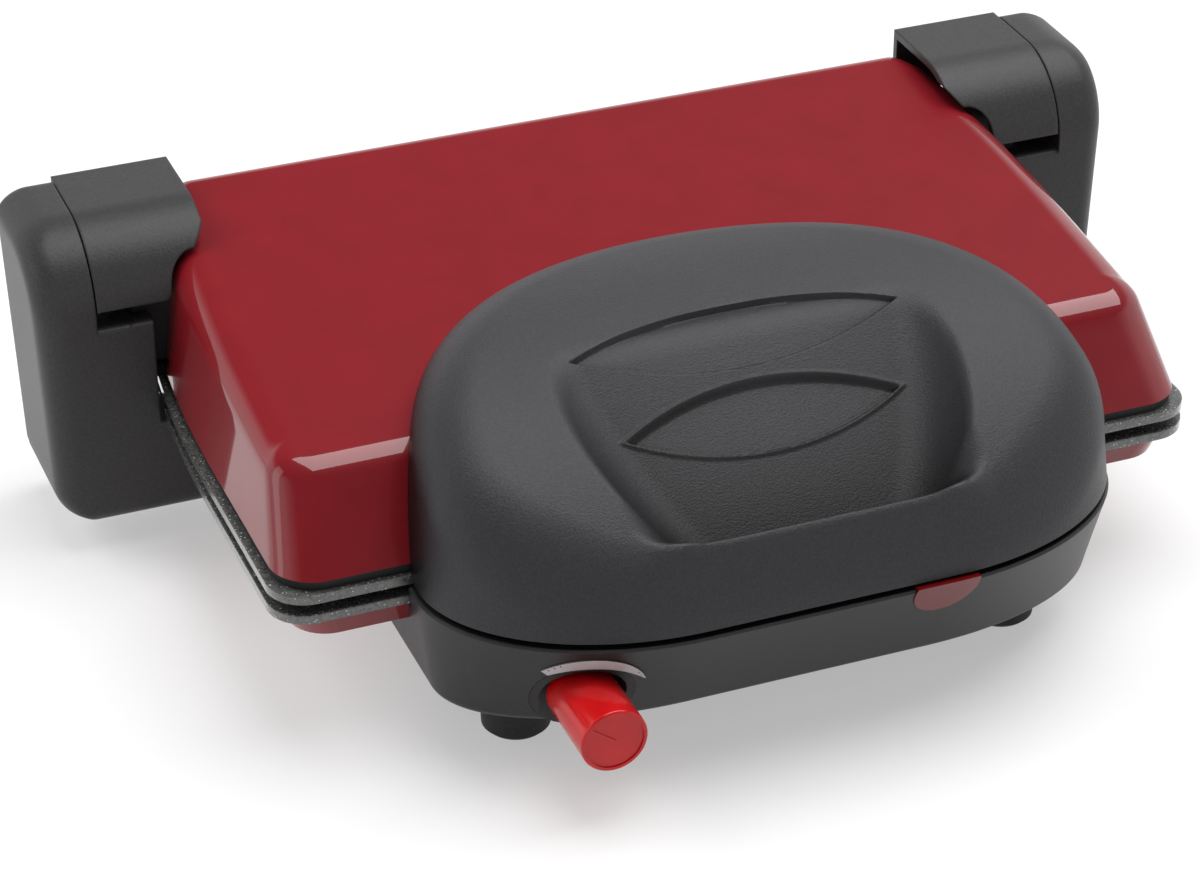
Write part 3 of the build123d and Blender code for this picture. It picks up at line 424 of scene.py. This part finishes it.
def lid_loops(inset, bottom):
    """Loops of the lid's outer form, drawn in by an inset."""
    corner = LID_CORNER - inset
    foot = plate_outline(LID_FOOT["half"] - inset, LID_FOOT["narrowing"], LID_FOOT["front"] + inset,
                         LID_FOOT["rear"] - inset, corner)
    top = plate_outline(LID_TOP["half"] - inset, LID_TOP["narrowing"], LID_TOP["front"] + inset,
                        LID_TOP["rear"] - inset, corner)
    paths = []
    for low, high, across in zip(foot, top, inward(top)):
        height = LID_FRONT_HEIGHT + LID_SLOPE * (high[1] - LID_TOP["front"]) - inset
        rear_share = max(0.0, -across.y) ** 2
        rounding = LID_ROUNDING + (LID_REAR_ROUNDING - LID_ROUNDING) * rear_share
        paths.append(rounded_path(
            Vector((*low, bottom)), Vector((*high, height)),
            Vector((across.x, across.y, LID_SLOPE * across.y)), rounding - inset))
    return [list(loop) for loop in zip(*paths)]


def lid_shell():
    """Glossy lid: a thin shell with an even rounded edge, open at the rear for its panel."""
    outer = lid_loops(0, LID_BOTTOM)
    inner = lid_loops(LID_WALL, LID_BOTTOM)
    mesh = skin("lid", list(reversed(inner)) + outer)
    panel_low, panel_high = (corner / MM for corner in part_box("lid_rear_panel"))
    lean = (LID_TOP["rear"] - LID_FOOT["rear"]) / (LID_REAR_HEIGHT - LID_BOTTOM)
    inside = LID_FOOT["rear"] - PANEL_WALL
    low, high = LID_BOTTOM - PAST, panel_high.z
    beyond = LID_TOP["rear"] + FAR_PAST
    profile = [(inside - lean, low), (beyond, low), (beyond, high),
               (inside + lean * (high - LID_BOTTOM), high)]
    window = prism(profile, panel_low.x, panel_high.x)
    new_piece("lid_skin", cut(mesh, window), "red_lacquer", "lid", "lid_shell")


lid_shell()


# Handle

HANDLE_BOTTOM = 61.5
APRON_FLAT = 45.0
APRON_CENTRE = -8.0
HANDLE_HALF = 126.0
HANDLE_FRONT = -65.0
HANDLE_REAR = 108.0
HANDLE_LEAN = 14.0 / 124.0
HANDLE_ROUNDING = 20.0
HANDLE_STEPS = 260
HANDLE_RINGS = 170
HANDLE_WALL_SHARES = (0.02, 0.25, 0.5, 0.75)
OUTLINE_STEPS = 400
RIM_STEPS = 18
RIM_STAND = 1.0
RIM_BLEND = 6.0
WELD_DISTANCE = 0.00001
LID_GAP = 0.2
UNDERCUT_GAP = 0.4
UNDERCUT_REACH = 200.0
SPINE_HALF = 62.0
SPINE_Y = 10.0
CROWN = [(-74.0, 66.0), (-53.0, 85.5), (13.0, 119.0), (50.0, 125.0), (112.0, 116.5)]
POCKET_SLOPE = math.tan(math.radians(37.0))
POCKET_SLOPE_Y = -2.0
POCKET_SLOPE_HEIGHT = 102.5
POCKET_SIDE = [(80.0, 34.0), (73.0, -8.0), (50.0, -46.0)]
POCKET_BEND_BLEND = 12.0
FAR_INSIDE = -99.0
SIDE_WALL = {"slope": 2.2, "inside": 3.0, "blend": 17.0}
FRONT_WALL = {"slope": 3.6, "inside": 1.0, "blend": 5.0}
POCKET_BLEND = 3.0
LIP_BLEND = 9.0
LIP_START = 12.0
LIP_LENGTH = 10.0
LIP_RIDGE = 3.4
LIP_RIDGE_Y = -52.0
LIP_RIDGE_HALF = 8.0
LIP_RIDGE_ENDS = (48.0, 66.0)
LEAVES = [(21.0, 60.0, 11.0), (-5.0, 49.0, 10.0)]
LEAF_DEPTH = 2.2
LEAF_FRONT_SHARE = 0.4
LEAF_SOFTNESS = 1.3
LEAF_BEAD = 0.6
LEAF_BEAD_HALF = 1.0


def even_path(points, steps):
    """The same path with evenly spaced points, both ends in."""
    lengths = [0.0]
    for a, b in zip(points, points[1:]):
        lengths.append(lengths[-1] + math.dist(a, b))
    result, place = [], 0
    for k in range(steps + 1):
        target = lengths[-1] * k / steps
        while place < len(points) - 2 and lengths[place + 1] < target:
            place += 1
        share = (target - lengths[place]) / (lengths[place + 1] - lengths[place])
        a, b = points[place], points[place + 1]
        result.append((a[0] + (b[0] - a[0]) * share, a[1] + (b[1] - a[1]) * share))
    return result


def handle_outline():
    """Handle seen from above, anticlockwise from its right end: rear half, then front half."""
    reach_x, reach_y = HANDLE_HALF - APRON_FLAT, APRON_CENTRE - HANDLE_FRONT
    half_steps = OUTLINE_STEPS // 2
    rear = ellipse((0, APRON_CENTRE), HANDLE_HALF, HANDLE_REAR - APRON_CENTRE, 0, 180, OUTLINE_STEPS)
    front = ellipse((-APRON_FLAT, APRON_CENTRE), reach_x, reach_y, 180, 270, half_steps)
    front += ellipse((APRON_FLAT, APRON_CENTRE), reach_x, reach_y, 270, 360, half_steps)
    return even_path(rear, HANDLE_STEPS)[:-1] + even_path(front, HANDLE_STEPS)[:-1]


def crown_height(y):
    """Height of the handle's crown over its length, one smooth curve through its five heights."""
    height = 0.0
    for index, (y_here, z_here) in enumerate(CROWN):
        share = z_here
        for other, (y_other, _) in enumerate(CROWN):
            if other != index:
                share *= (y - y_other) / (y_here - y_other)
        height += share
    return height


def soft_min(a, b, blend):
    """The smaller of two values, with a smooth change-over."""
    near = max(blend - abs(a - b), 0.0) / blend
    return min(a, b) - near * near * blend / 4


def soft_max(a, b, blend):
    """The larger of two values, with a smooth change-over."""
    return -soft_min(-a, -b, blend)


def pocket_side(x, y):
    """Distance outside the pocket's two bent sides."""
    distance = FAR_INSIDE
    for (x0, y0), (x1, y1) in zip(POCKET_SIDE, POCKET_SIDE[1:]):
        length = math.hypot(x1 - x0, y1 - y0)
        off_side = ((abs(x) - x0) * (y0 - y1) + (y - y0) * (x1 - x0)) / length
        distance = soft_max(distance, off_side, POCKET_BEND_BLEND)
    return distance


def leaf_press(x, y):
    """How far the two leaf-shaped hollows press into the handle, inside their raised beads."""
    depth = 0.0
    for centre_y, half, bulge in LEAVES:
        radius = (half * half + bulge * bulge) / (2 * bulge)
        off = max(math.hypot(x, y - (centre_y - bulge + radius)),
                  math.hypot(x, y - (centre_y + bulge - radius))) - radius
        share = clamped(0.5 - off / LEAF_SOFTNESS)
        rearward = clamped((y - centre_y + bulge) / (2 * bulge))
        full = LEAF_DEPTH * (LEAF_FRONT_SHARE + (1 - LEAF_FRONT_SHARE) * rearward)
        depth = max(depth, full * share * share * (3 - 2 * share))
        bead = max(1 - ((off - LEAF_BEAD_HALF) / LEAF_BEAD_HALF) ** 2, 0.0)
        depth -= LEAF_BEAD * bead * bead
    return depth


def lip_ridge(x, y):
    """Height of the soft ridge along the pocket's front lip."""
    across = max(1 - ((y - LIP_RIDGE_Y) / LIP_RIDGE_HALF) ** 2, 0.0) ** 2
    near, far = LIP_RIDGE_ENDS
    fade = clamped((far - abs(x)) / (far - near))
    return LIP_RIDGE * across * fade * fade * (3 - 2 * fade)


def pocket_wall(distance, wall):
    """Rise of one of the pocket's walls at a distance past its foot."""
    return wall["slope"] * soft_max(distance, 0.0, wall["blend"])


def handle_top(x, y):
    """Height of the handle's top with its pocket, without the rounded rim."""
    slope = POCKET_SLOPE_HEIGHT + (y - POCKET_SLOPE_Y) * POCKET_SLOPE
    front = POCKET_SIDE[-1][1]
    wall = math.hypot(pocket_wall(pocket_side(x, y) + SIDE_WALL["inside"], SIDE_WALL),
                      pocket_wall(front + FRONT_WALL["inside"] - y, FRONT_WALL))
    blend = POCKET_BLEND + LIP_BLEND * clamped((front + LIP_START - y) / LIP_LENGTH)
    return soft_min(crown_height(y) + lip_ridge(x, y), slope + wall, blend) - leaf_press(x, y)


def rim_rounding(y):
    """Radius of the handle's rounded rim, smaller over its low front."""
    return soft_min(HANDLE_ROUNDING, crown_height(y) - HANDLE_BOTTOM - RIM_STAND, RIM_BLEND)


def handle_loops():
    """Loops up the handle's wall, round its rim and in over the crown and the pocket."""
    outline = handle_outline()
    normals = inward(outline)
    loops = [[(x, y, HANDLE_BOTTOM) for x, y in outline]]
    for share in HANDLE_WALL_SHARES:
        loop = []
        for (x, y), normal in zip(outline, normals):
            rise = share * (crown_height(y) - rim_rounding(y) - HANDLE_BOTTOM)
            inset = rise * HANDLE_LEAN
            loop.append((x + normal.x * inset, y + normal.y * inset, HANDLE_BOTTOM + rise))
        loops.append(loop)
    for step in range(RIM_STEPS + 1):
        angle = math.radians(90 * step / RIM_STEPS)
        loop = []
        for (x, y), normal in zip(outline, normals):
            drop = rim_rounding(y) * (1 - math.sin(angle))
            lean = (crown_height(y) - drop - HANDLE_BOTTOM) * HANDLE_LEAN
            inset = lean + rim_rounding(y) * (1 - math.cos(angle))
            px, py = x + normal.x * inset, y + normal.y * inset
            loop.append((px, py, handle_top(px, py) - drop))
        loops.append(loop)
    rim = loops[-1]
    total = len(outline)
    for ring in range(1, HANDLE_RINGS + 1):
        share = ring / HANDLE_RINGS
        loop = []
        for index, (x, y, _) in enumerate(rim):
            along = index / HANDLE_STEPS if index <= HANDLE_STEPS else (total - index) / HANDLE_STEPS
            spine_x = SPINE_HALF * math.cos(math.pi * along)
            px, py = x + (spine_x - x) * share, y + (SPINE_Y - y) * share
            loop.append((px, py, handle_top(px, py)))
        loops.append(loop)
    return loops


def handle():
    """Handle over the lid's front, closed below, cut clear of the lid and of the parts under it."""
    mesh = skin("handle", handle_loops(), last_cap=False)
    weld = bmesh.new()
    weld.from_mesh(mesh)
    bmesh.ops.remove_doubles(weld, verts=weld.verts, dist=WELD_DISTANCE)
    weld.to_mesh(mesh)
    weld.free()
    mesh = cut(mesh, skin("lid_form", lid_loops(-LID_GAP, LID_BOTTOM - LID_GAP)))
    mesh = cut(mesh, block(-UNDERCUT_REACH, UNDERCUT_REACH, -PAST, UNDERCUT_REACH,
                           0, LID_BOTTOM + UNDERCUT_GAP))
    new_piece("handle_skin", mesh, "handle_charcoal", "lid", "handle_shell")


handle()


# Hinge posts

POST_SEAM = 191.3
POST_OUTER = 213.5
POST_FRONT = 146.4
POST_REAR = 205.0
POST_LOW = 12.0
POST_HIGH = 126.0
POST_CORNERS = (30.0, 6.0, 6.0)
SMALLEST_CORNER = 0.6
POST_DRAFT = 4.0 / 114.0
POST_ROUNDING = 10.0
POST_ROUNDING_STEPS = 12
POST_MID_SHARE = 0.3
POST_FACE_INSETS = (13.0, 17.0, 21.0, 25.0, 28.0)
OVERLAP = 3.0
POST_TOP_ROUNDING = 8.0
POST_FOOT_ROUNDING = 14.0
LEDGE_INNER = 177.0
LEDGE_TOP = 92.3
LEDGE_CORNERS = (2.0, 1.0, 6.0)
WEB_INNER = 150.0
WEB_REAR = 167.0
WEB_TOP = 50.8
WEB_CORNERS = (1.0, 1.0, 6.0)
TAB_INNER = 170.8
TAB_REAR = 155.0
TAB_LOW = POST_LOW + 9.0
TAB_TOP = 92.3
TAB_CORNERS = (1.0, 1.0, 1.0)
TAB_OVERLAP = 2.0
WEB_WALL = 2.6
WEB_HOLLOW_TOP = 32.0
WEB_HOLLOW_FRONT = POST_FRONT + 6.0
HINGE_Y = 194.0
HINGE_Z = 64.0
FLOAT_TRAVEL = 15.0
ARM_DROP = 33.0
ARM_FRONT = HINGE_Y - 11.5
ARM_FOOT_FRONT = WEB_REAR + 2.0
SLIDER_HALF = 7.2
SLIDER_SEAT = POST_SEAM + 3.4
PIN_HALF = 5.3
POST_SCREW = (157.0, 24.0)
POST_SCREW_HOLE = 1.85
BACK_COVER_GAP = 0.15
GROMMET_Z = 34.0
GROMMET_BOSS = 8.6
GROMMET_BOSS_LENGTH = 12.0
GROMMET_HOLE = 6.5
GROMMET_HOLE_DEPTH = 9.0
PAN_NARROWING = 8.5
PAN_CORNER = 14.0
PAN_LEVELS = [(20.0, 126.0, 44.0, 168.0), (43.0, 163.5, 5.0, 181.0), (52.0, 167.0, 3.0, 184.0)]


def side_profile(front, rear, low, high, corners, inset=0.0):
    """Rounded y-z outline, drawn in by an inset; corners are front top, rear top and foot."""
    nose, back, foot = (max(radius - inset, SMALLEST_CORNER) for radius in corners)
    front, rear, low, high = front + inset, rear - inset, low + inset, high - inset
    points = arc((rear - foot, low + foot), foot, -90, 0, 6)
    points += line((rear, low + foot), (rear, high - back), 24)
    points += arc((rear - back, high - back), back, 0, 90, 12)
    points += line((rear - back, high), (front + nose, high), 6)
    points += arc((front + nose, high - nose), nose, 90, 180, 20)
    points += line((front, high - nose), (front, low + foot), 24)
    points += arc((front + foot, low + foot), foot, 180, 270, 6)
    return points + line((front + foot, low), (rear - foot, low), 16)


def post_face(z):
    """How far out the post's outer face is at a height, with its rounded top and foot."""
    reach = POST_OUTER - POST_DRAFT * (POST_HIGH - z)
    for radius, depth in ((POST_TOP_ROUNDING, POST_HIGH - z), (POST_FOOT_ROUNDING, z - POST_LOW)):
        short = max(radius - depth, 0.0)
        reach -= radius - math.sqrt(radius * radius - short * short)
    return reach


def post_outer():
    """Outer half of the post, softly rounded all round its outer face."""
    width = POST_OUTER - POST_SEAM
    steps = [(0.0, 0.0), (0.0, POST_MID_SHARE)]
    for k in range(POST_ROUNDING_STEPS + 1):
        angle = math.radians(90 * k / POST_ROUNDING_STEPS)
        steps.append((POST_ROUNDING * (1 - math.cos(angle)),
                      1 - POST_ROUNDING * (1 - math.sin(angle)) / width))
    steps += [(inset, 1.0) for inset in POST_FACE_INSETS]
    loops = []
    for inset, share in steps:
        profile = side_profile(POST_FRONT, POST_REAR, POST_LOW, POST_HIGH, POST_CORNERS, inset)
        loops.append([(POST_SEAM + (post_face(z) - POST_SEAM) * share, y, z) for y, z in profile])
    return skin("post", loops)


def pan_form():
    """Outer form of the red pan, from below its floor to its top, for cutting."""
    levels = [(z, plate_outline(half, PAN_NARROWING, front, rear, PAN_CORNER))
              for z, half, front, rear in PAN_LEVELS]
    return skin("pan", [[(x, y, z) for x, y in outline] for z, outline in levels])


def post_mesh(right):
    """Whole post with its ledge, web and tab, its working hollows and, right, the cord's boss."""
    mesh = post_outer()
    ledge = side_profile(POST_FRONT, POST_REAR, POST_LOW, LEDGE_TOP, LEDGE_CORNERS)
    mesh = cut(mesh, prism(ledge, LEDGE_INNER, POST_SEAM + OVERLAP), "UNION")
    web = side_profile(POST_FRONT, WEB_REAR, POST_LOW, WEB_TOP, WEB_CORNERS)
    mesh = cut(mesh, prism(web, WEB_INNER, LEDGE_INNER + OVERLAP), "UNION")
    tab = side_profile(POST_FRONT, TAB_REAR, TAB_LOW, TAB_TOP, TAB_CORNERS)
    mesh = cut(mesh, prism(tab, TAB_INNER, LEDGE_INNER + TAB_OVERLAP), "UNION")

    arm_top = HINGE_Z + FLOAT_TRAVEL - ARM_DROP
    arm_rear = POST_REAR + FAR_PAST
    arm_room = [(ARM_FRONT, arm_top), (ARM_FOOT_FRONT, 0), (arm_rear, 0), (arm_rear, arm_top)]
    mesh = cut(mesh, prism(arm_room, WEB_INNER - FAR_PAST, POST_SEAM))
    mesh = cut(mesh, block(LEDGE_INNER + OVERLAP, SLIDER_SEAT, HINGE_Y - SLIDER_HALF,
                           HINGE_Y + SLIDER_HALF, HINGE_Z - SLIDER_HALF,
                           HINGE_Z + FLOAT_TRAVEL + SLIDER_HALF))
    pin = arc((HINGE_Y, HINGE_Z + FLOAT_TRAVEL), PIN_HALF, 0, 180, 20)
    pin += arc((HINGE_Y, HINGE_Z), PIN_HALF, 180, 360, 20)
    mesh = cut(mesh, prism(pin, LEDGE_INNER - PAST, POST_SEAM))

    mesh = cut(mesh, block(WEB_INNER + WEB_WALL, LEDGE_INNER - WEB_WALL, WEB_HOLLOW_FRONT,
                           WEB_REAR - WEB_WALL, POST_LOW - PAST, WEB_HOLLOW_TOP))
    screw = prism(circle(POST_SCREW, POST_SCREW_HOLE), WEB_INNER - PAST, WEB_INNER + WEB_WALL + PAST)
    mesh = cut(mesh, screw)
    mesh = cut(mesh, pan_form())
    cover_low, cover_high = (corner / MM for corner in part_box("post_back_cover_right"))
    mesh = cut(mesh, block(cover_low.x - BACK_COVER_GAP, cover_high.x + BACK_COVER_GAP,
                           cover_low.y - FRONT, POST_REAR + PAST,
                           cover_low.z - BACK_COVER_GAP, cover_high.z + BACK_COVER_GAP))
    if right:
        cord = (sum(corner.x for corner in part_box("cord_grommet")) / MM / 2, GROMMET_Z)
        boss = prism_along_y(circle(cord, GROMMET_BOSS), POST_REAR - GROMMET_BOSS_LENGTH, POST_REAR)
        mesh = cut(mesh, boss, "UNION")
        mesh = cut(mesh, prism_along_y(circle(cord, GROMMET_HOLE), POST_REAR - GROMMET_HOLE_DEPTH,
                                       POST_REAR + PAST))
    return mesh


def mirrored(mesh):
    """The mesh as its mirror image in x."""
    other = mesh.copy()
    other.transform(Matrix.Scale(-1, 4, (1, 0, 0)))
    other.flip_normals()
    return other


def posts():
    """Both hinge posts, soft outside, with their working faces where the solids have them."""
    new_piece("post_skin_right", post_mesh(True), "post_grey", "base", "hinge_post_right")
    new_piece("post_skin_left", mirrored(post_mesh(False)), "post_grey", "base", "hinge_post_left")


posts()


# Cheeks between the hinge arms and the lid

CHEEK_SPAN = (150.0, 168.7)
CHEEK_SIDE = (158.0, 182.0, 68.9, 112.0)
CHEEK_CORNERS = (6.0, 6.0, 1.0)
CHEEK_GAP = 0.4


def arm_cheeks():
    """Webs that close the gap between each hinge arm and the side of the lid."""
    lid_form = skin("lid_form", lid_loops(-CHEEK_GAP, LID_BOTTOM - FAR_PAST))
    mesh = cut(prism(side_profile(*CHEEK_SIDE, CHEEK_CORNERS), *CHEEK_SPAN), lid_form)
    for name, made in (("arm_cheek_right", mesh), ("arm_cheek_left", mirrored(mesh))):
        new_piece(name, made, "inner_black", "lid")


arm_cheeks()


# Knob surround

KNOB_X = -82.7
KNOB_Z = 34.6
BEZEL_RADIUS = 16.5
BEZEL_BORE = 13.8
BEZEL_FACE = -60.0
BEZEL_FLOOR = -41.0
BEZEL_BACK = -38.4
SHAFT_HOLE = 3.2
SCALE_OUTER = 20.2
SCALE_START = 22.0
SCALE_END = 138.0
SCALE_STEPS = 48
SCALE_WIDTH = 4.8
SCALE_TAPER = 1.3
SCALE_FULLNESS = 0.7
SCALE_STAND = 0.5
SCALE_SINK = 0.05
SCALE_TICKS = (30.0, 36.0, 120.0, 126.0, 132.0)
TICK_HALF = 0.5
TICK_INNER = 18.9
TICK_OUTER = 19.8
AXIS_SPAN = (-80.0, -30.0)
HOUSING_LEVELS = (10.0, 68.0)
HOUSING_LOW = 20.0
HOUSING_HEIGHT = 39.2
HOUSING_FOOT = (77.0, 38.0)
HOUSING_SPREAD = (5.0, 20.0)
HOUSING_REAR = 52.0
HOUSING_STEPS = 60


def housing_form(grow):
    """Sloping outer form of the front housing, grown by a distance."""
    loops = []
    for z in HOUSING_LEVELS:
        share = (z - HOUSING_LOW) / HOUSING_HEIGHT
        reach_x, reach_y = (foot + spread * share + grow
                            for foot, spread in zip(HOUSING_FOOT, HOUSING_SPREAD))
        outline = ellipse((APRON_FLAT, APRON_CENTRE), reach_x, reach_y, -90, 0, HOUSING_STEPS)
        outline += [(APRON_FLAT + reach_x, HOUSING_REAR), (-APRON_FLAT - reach_x, HOUSING_REAR)]
        outline += ellipse((-APRON_FLAT, APRON_CENTRE), reach_x, reach_y, 180, 270, HOUSING_STEPS)
        loops.append([(x, y, z) for x, y in outline])
    return skin("housing", loops)


def around_knob(angle, radius):
    """Point beside the knob's axis, as (x, z)."""
    turn = math.radians(angle)
    return KNOB_X + radius * math.cos(turn), KNOB_Z + radius * math.sin(turn)


def bezel():
    """Collar round the knob, cut flush with the sloping housing."""
    centre = (KNOB_X, KNOB_Z)
    mesh = prism_along_y(circle(centre, BEZEL_RADIUS), BEZEL_FACE, BEZEL_BACK)
    mesh = cut(mesh, prism_along_y(circle(centre, BEZEL_BORE), BEZEL_FACE - FAR_PAST, BEZEL_FLOOR))
    mesh = cut(mesh, prism_along_y(circle(centre, SHAFT_HOLE), BEZEL_FLOOR - FAR_PAST, BEZEL_BACK + PAST))
    mesh = cut(mesh, housing_form(0.0), "INTERSECT")
    new_piece("bezel_skin", mesh, "inner_black", "base", "dial_bezel")


def scale():
    """Silver crescent over the knob with plain ticks cut into its ends."""
    angles = [SCALE_START + (SCALE_END - SCALE_START) * k / SCALE_STEPS for k in range(SCALE_STEPS + 1)]
    ring = [around_knob(angle, SCALE_OUTER) for angle in angles]
    for angle in reversed(angles[1:]):
        taper = math.sin(math.radians(SCALE_TAPER * (angle - SCALE_START)))
        width = SCALE_WIDTH * taper ** SCALE_FULLNESS
        ring.append(around_knob(angle, SCALE_OUTER - width))
    mesh = cut(housing_form(SCALE_STAND), housing_form(SCALE_SINK))
    mesh = cut(mesh, prism_along_y(ring, *AXIS_SPAN), "INTERSECT")
    for tick in SCALE_TICKS:
        ends = [(tick - TICK_HALF, TICK_INNER), (tick - TICK_HALF, TICK_OUTER),
                (tick + TICK_HALF, TICK_OUTER), (tick + TICK_HALF, TICK_INNER)]
        mesh = cut(mesh, prism_along_y([around_knob(*end) for end in ends], *AXIS_SPAN))
    new_piece("scale_skin", mesh, "dial_silver", "base", "dial_scale")


bezel()
scale()


# Floor, light and camera

FLOOR_HALF = 6.0
FLOOR_GLOW = 0.42
EVEN_LIGHT = 0.22
HORIZON = (0.40, (1.0, 1.0, 1.0))
CEILING = (0.60, (0.08, 0.08, 0.08))


def floor():
    """Wide pale floor that glows a little, so that it stays near white."""
    mesh = bpy.data.meshes.new("floor")
    half = FLOOR_HALF
    mesh.from_pydata([(-half, -half, 0), (half, -half, 0), (half, half, 0), (-half, half, 0)],
                     [], [(0, 1, 2, 3)])
    made = bpy.data.objects.new("floor", mesh)
    bpy.context.scene.collection.objects.link(made)
    paper, tree, shader, place = material("paper")
    tone = ramp(tree, noise(tree, place, 3, 2), shades((0.5, 0.5, 0.5), 0.99, 1.01))
    tree.links.new(tone, shader.inputs["Base Color"])
    tune(shader, {"Roughness": 0.7, "Emission Color": (1, 1, 1, 1), "Emission Strength": FLOOR_GLOW})
    mesh.materials.append(paper)


def area_light(name, place, target, width, height, power):
    """Rectangular soft box that faces a target; returns its object."""
    data = bpy.data.lights.new(name, "AREA")
    data.shape = "RECTANGLE"
    data.size = width
    data.size_y = height
    data.energy = power
    lamp = bpy.data.objects.new(name, data)
    bpy.context.scene.collection.objects.link(lamp)
    lamp.location = place
    lamp.rotation_euler = (Vector(target) - Vector(place)).to_track_quat("-Z", "Y").to_euler()
    return lamp


CAMERA_AZIMUTH = math.radians(21.662)
CAMERA_ELEVATION = math.radians(31.5)
CAMERA_PLACE = (-445.5, -976.0, 742.5)
SENSOR_WIDTH = 36.0
FOCAL_PIXELS = 3692.75
PHOTO_WIDTH = 1200


def camera():
    """Camera at the photograph's place, level, with its long lens."""
    data = bpy.data.cameras.new("camera")
    data.sensor_fit = "HORIZONTAL"
    data.sensor_width = SENSOR_WIDTH
    data.lens = FOCAL_PIXELS / PHOTO_WIDTH * SENSOR_WIDTH
    view = bpy.data.objects.new("camera", data)
    bpy.context.scene.collection.objects.link(view)
    view.location = at(*CAMERA_PLACE)
    view.rotation_euler = (math.pi / 2 - CAMERA_ELEVATION, 0, -CAMERA_AZIMUTH)
    bpy.context.scene.camera = view


def world():
    """Even soft light; seen straight, in gloss or through plastic, a horizon under a dim ceiling."""
    made = bpy.data.worlds.new("studio")
    bpy.context.scene.world = made
    made.use_nodes = True
    tree = made.node_tree
    place = tree.nodes.new("ShaderNodeTexCoord")
    split = tree.nodes.new("ShaderNodeSeparateXYZ")
    tree.links.new(place.outputs["Generated"], split.inputs["Vector"])
    seen = ramp(tree, split.outputs["Z"], [HORIZON, CEILING])
    path = tree.nodes.new("ShaderNodeLightPath")
    shows = path.outputs["Is Camera Ray"]
    for kind in ("Is Glossy Ray", "Is Transmission Ray"):
        either = tree.nodes.new("ShaderNodeMath")
        either.operation = "MAXIMUM"
        tree.links.new(shows, either.inputs[0])
        tree.links.new(path.outputs[kind], either.inputs[1])
        shows = either.outputs[0]
    mixed = tree.nodes.new("ShaderNodeMix")
    mixed.data_type = "RGBA"
    tree.links.new(shows, mixed.inputs["Factor"])
    mixed.inputs["A"].default_value = (EVEN_LIGHT, EVEN_LIGHT, EVEN_LIGHT, 1)
    tree.links.new(seen, mixed.inputs["B"])
    tree.links.new(mixed.outputs["Result"], tree.nodes["Background"].inputs["Color"])


floor()
world()
area_light("overhead", (0.45, 0.1, 1.5), (0.1, 0, 0.1), 1.3, 1.7, 31)
area_light("back", (-1.0, 0.7, 1.05), (0, 0, 0.1), 0.8, 0.8, 11).visible_glossy = False
area_light("left_side", (-1.5, 0.2, 0.7), (0, 0, 0.08), 0.5, 1.0, 2)
camera()
bpy.context.scene.view_settings.view_transform = "Standard"
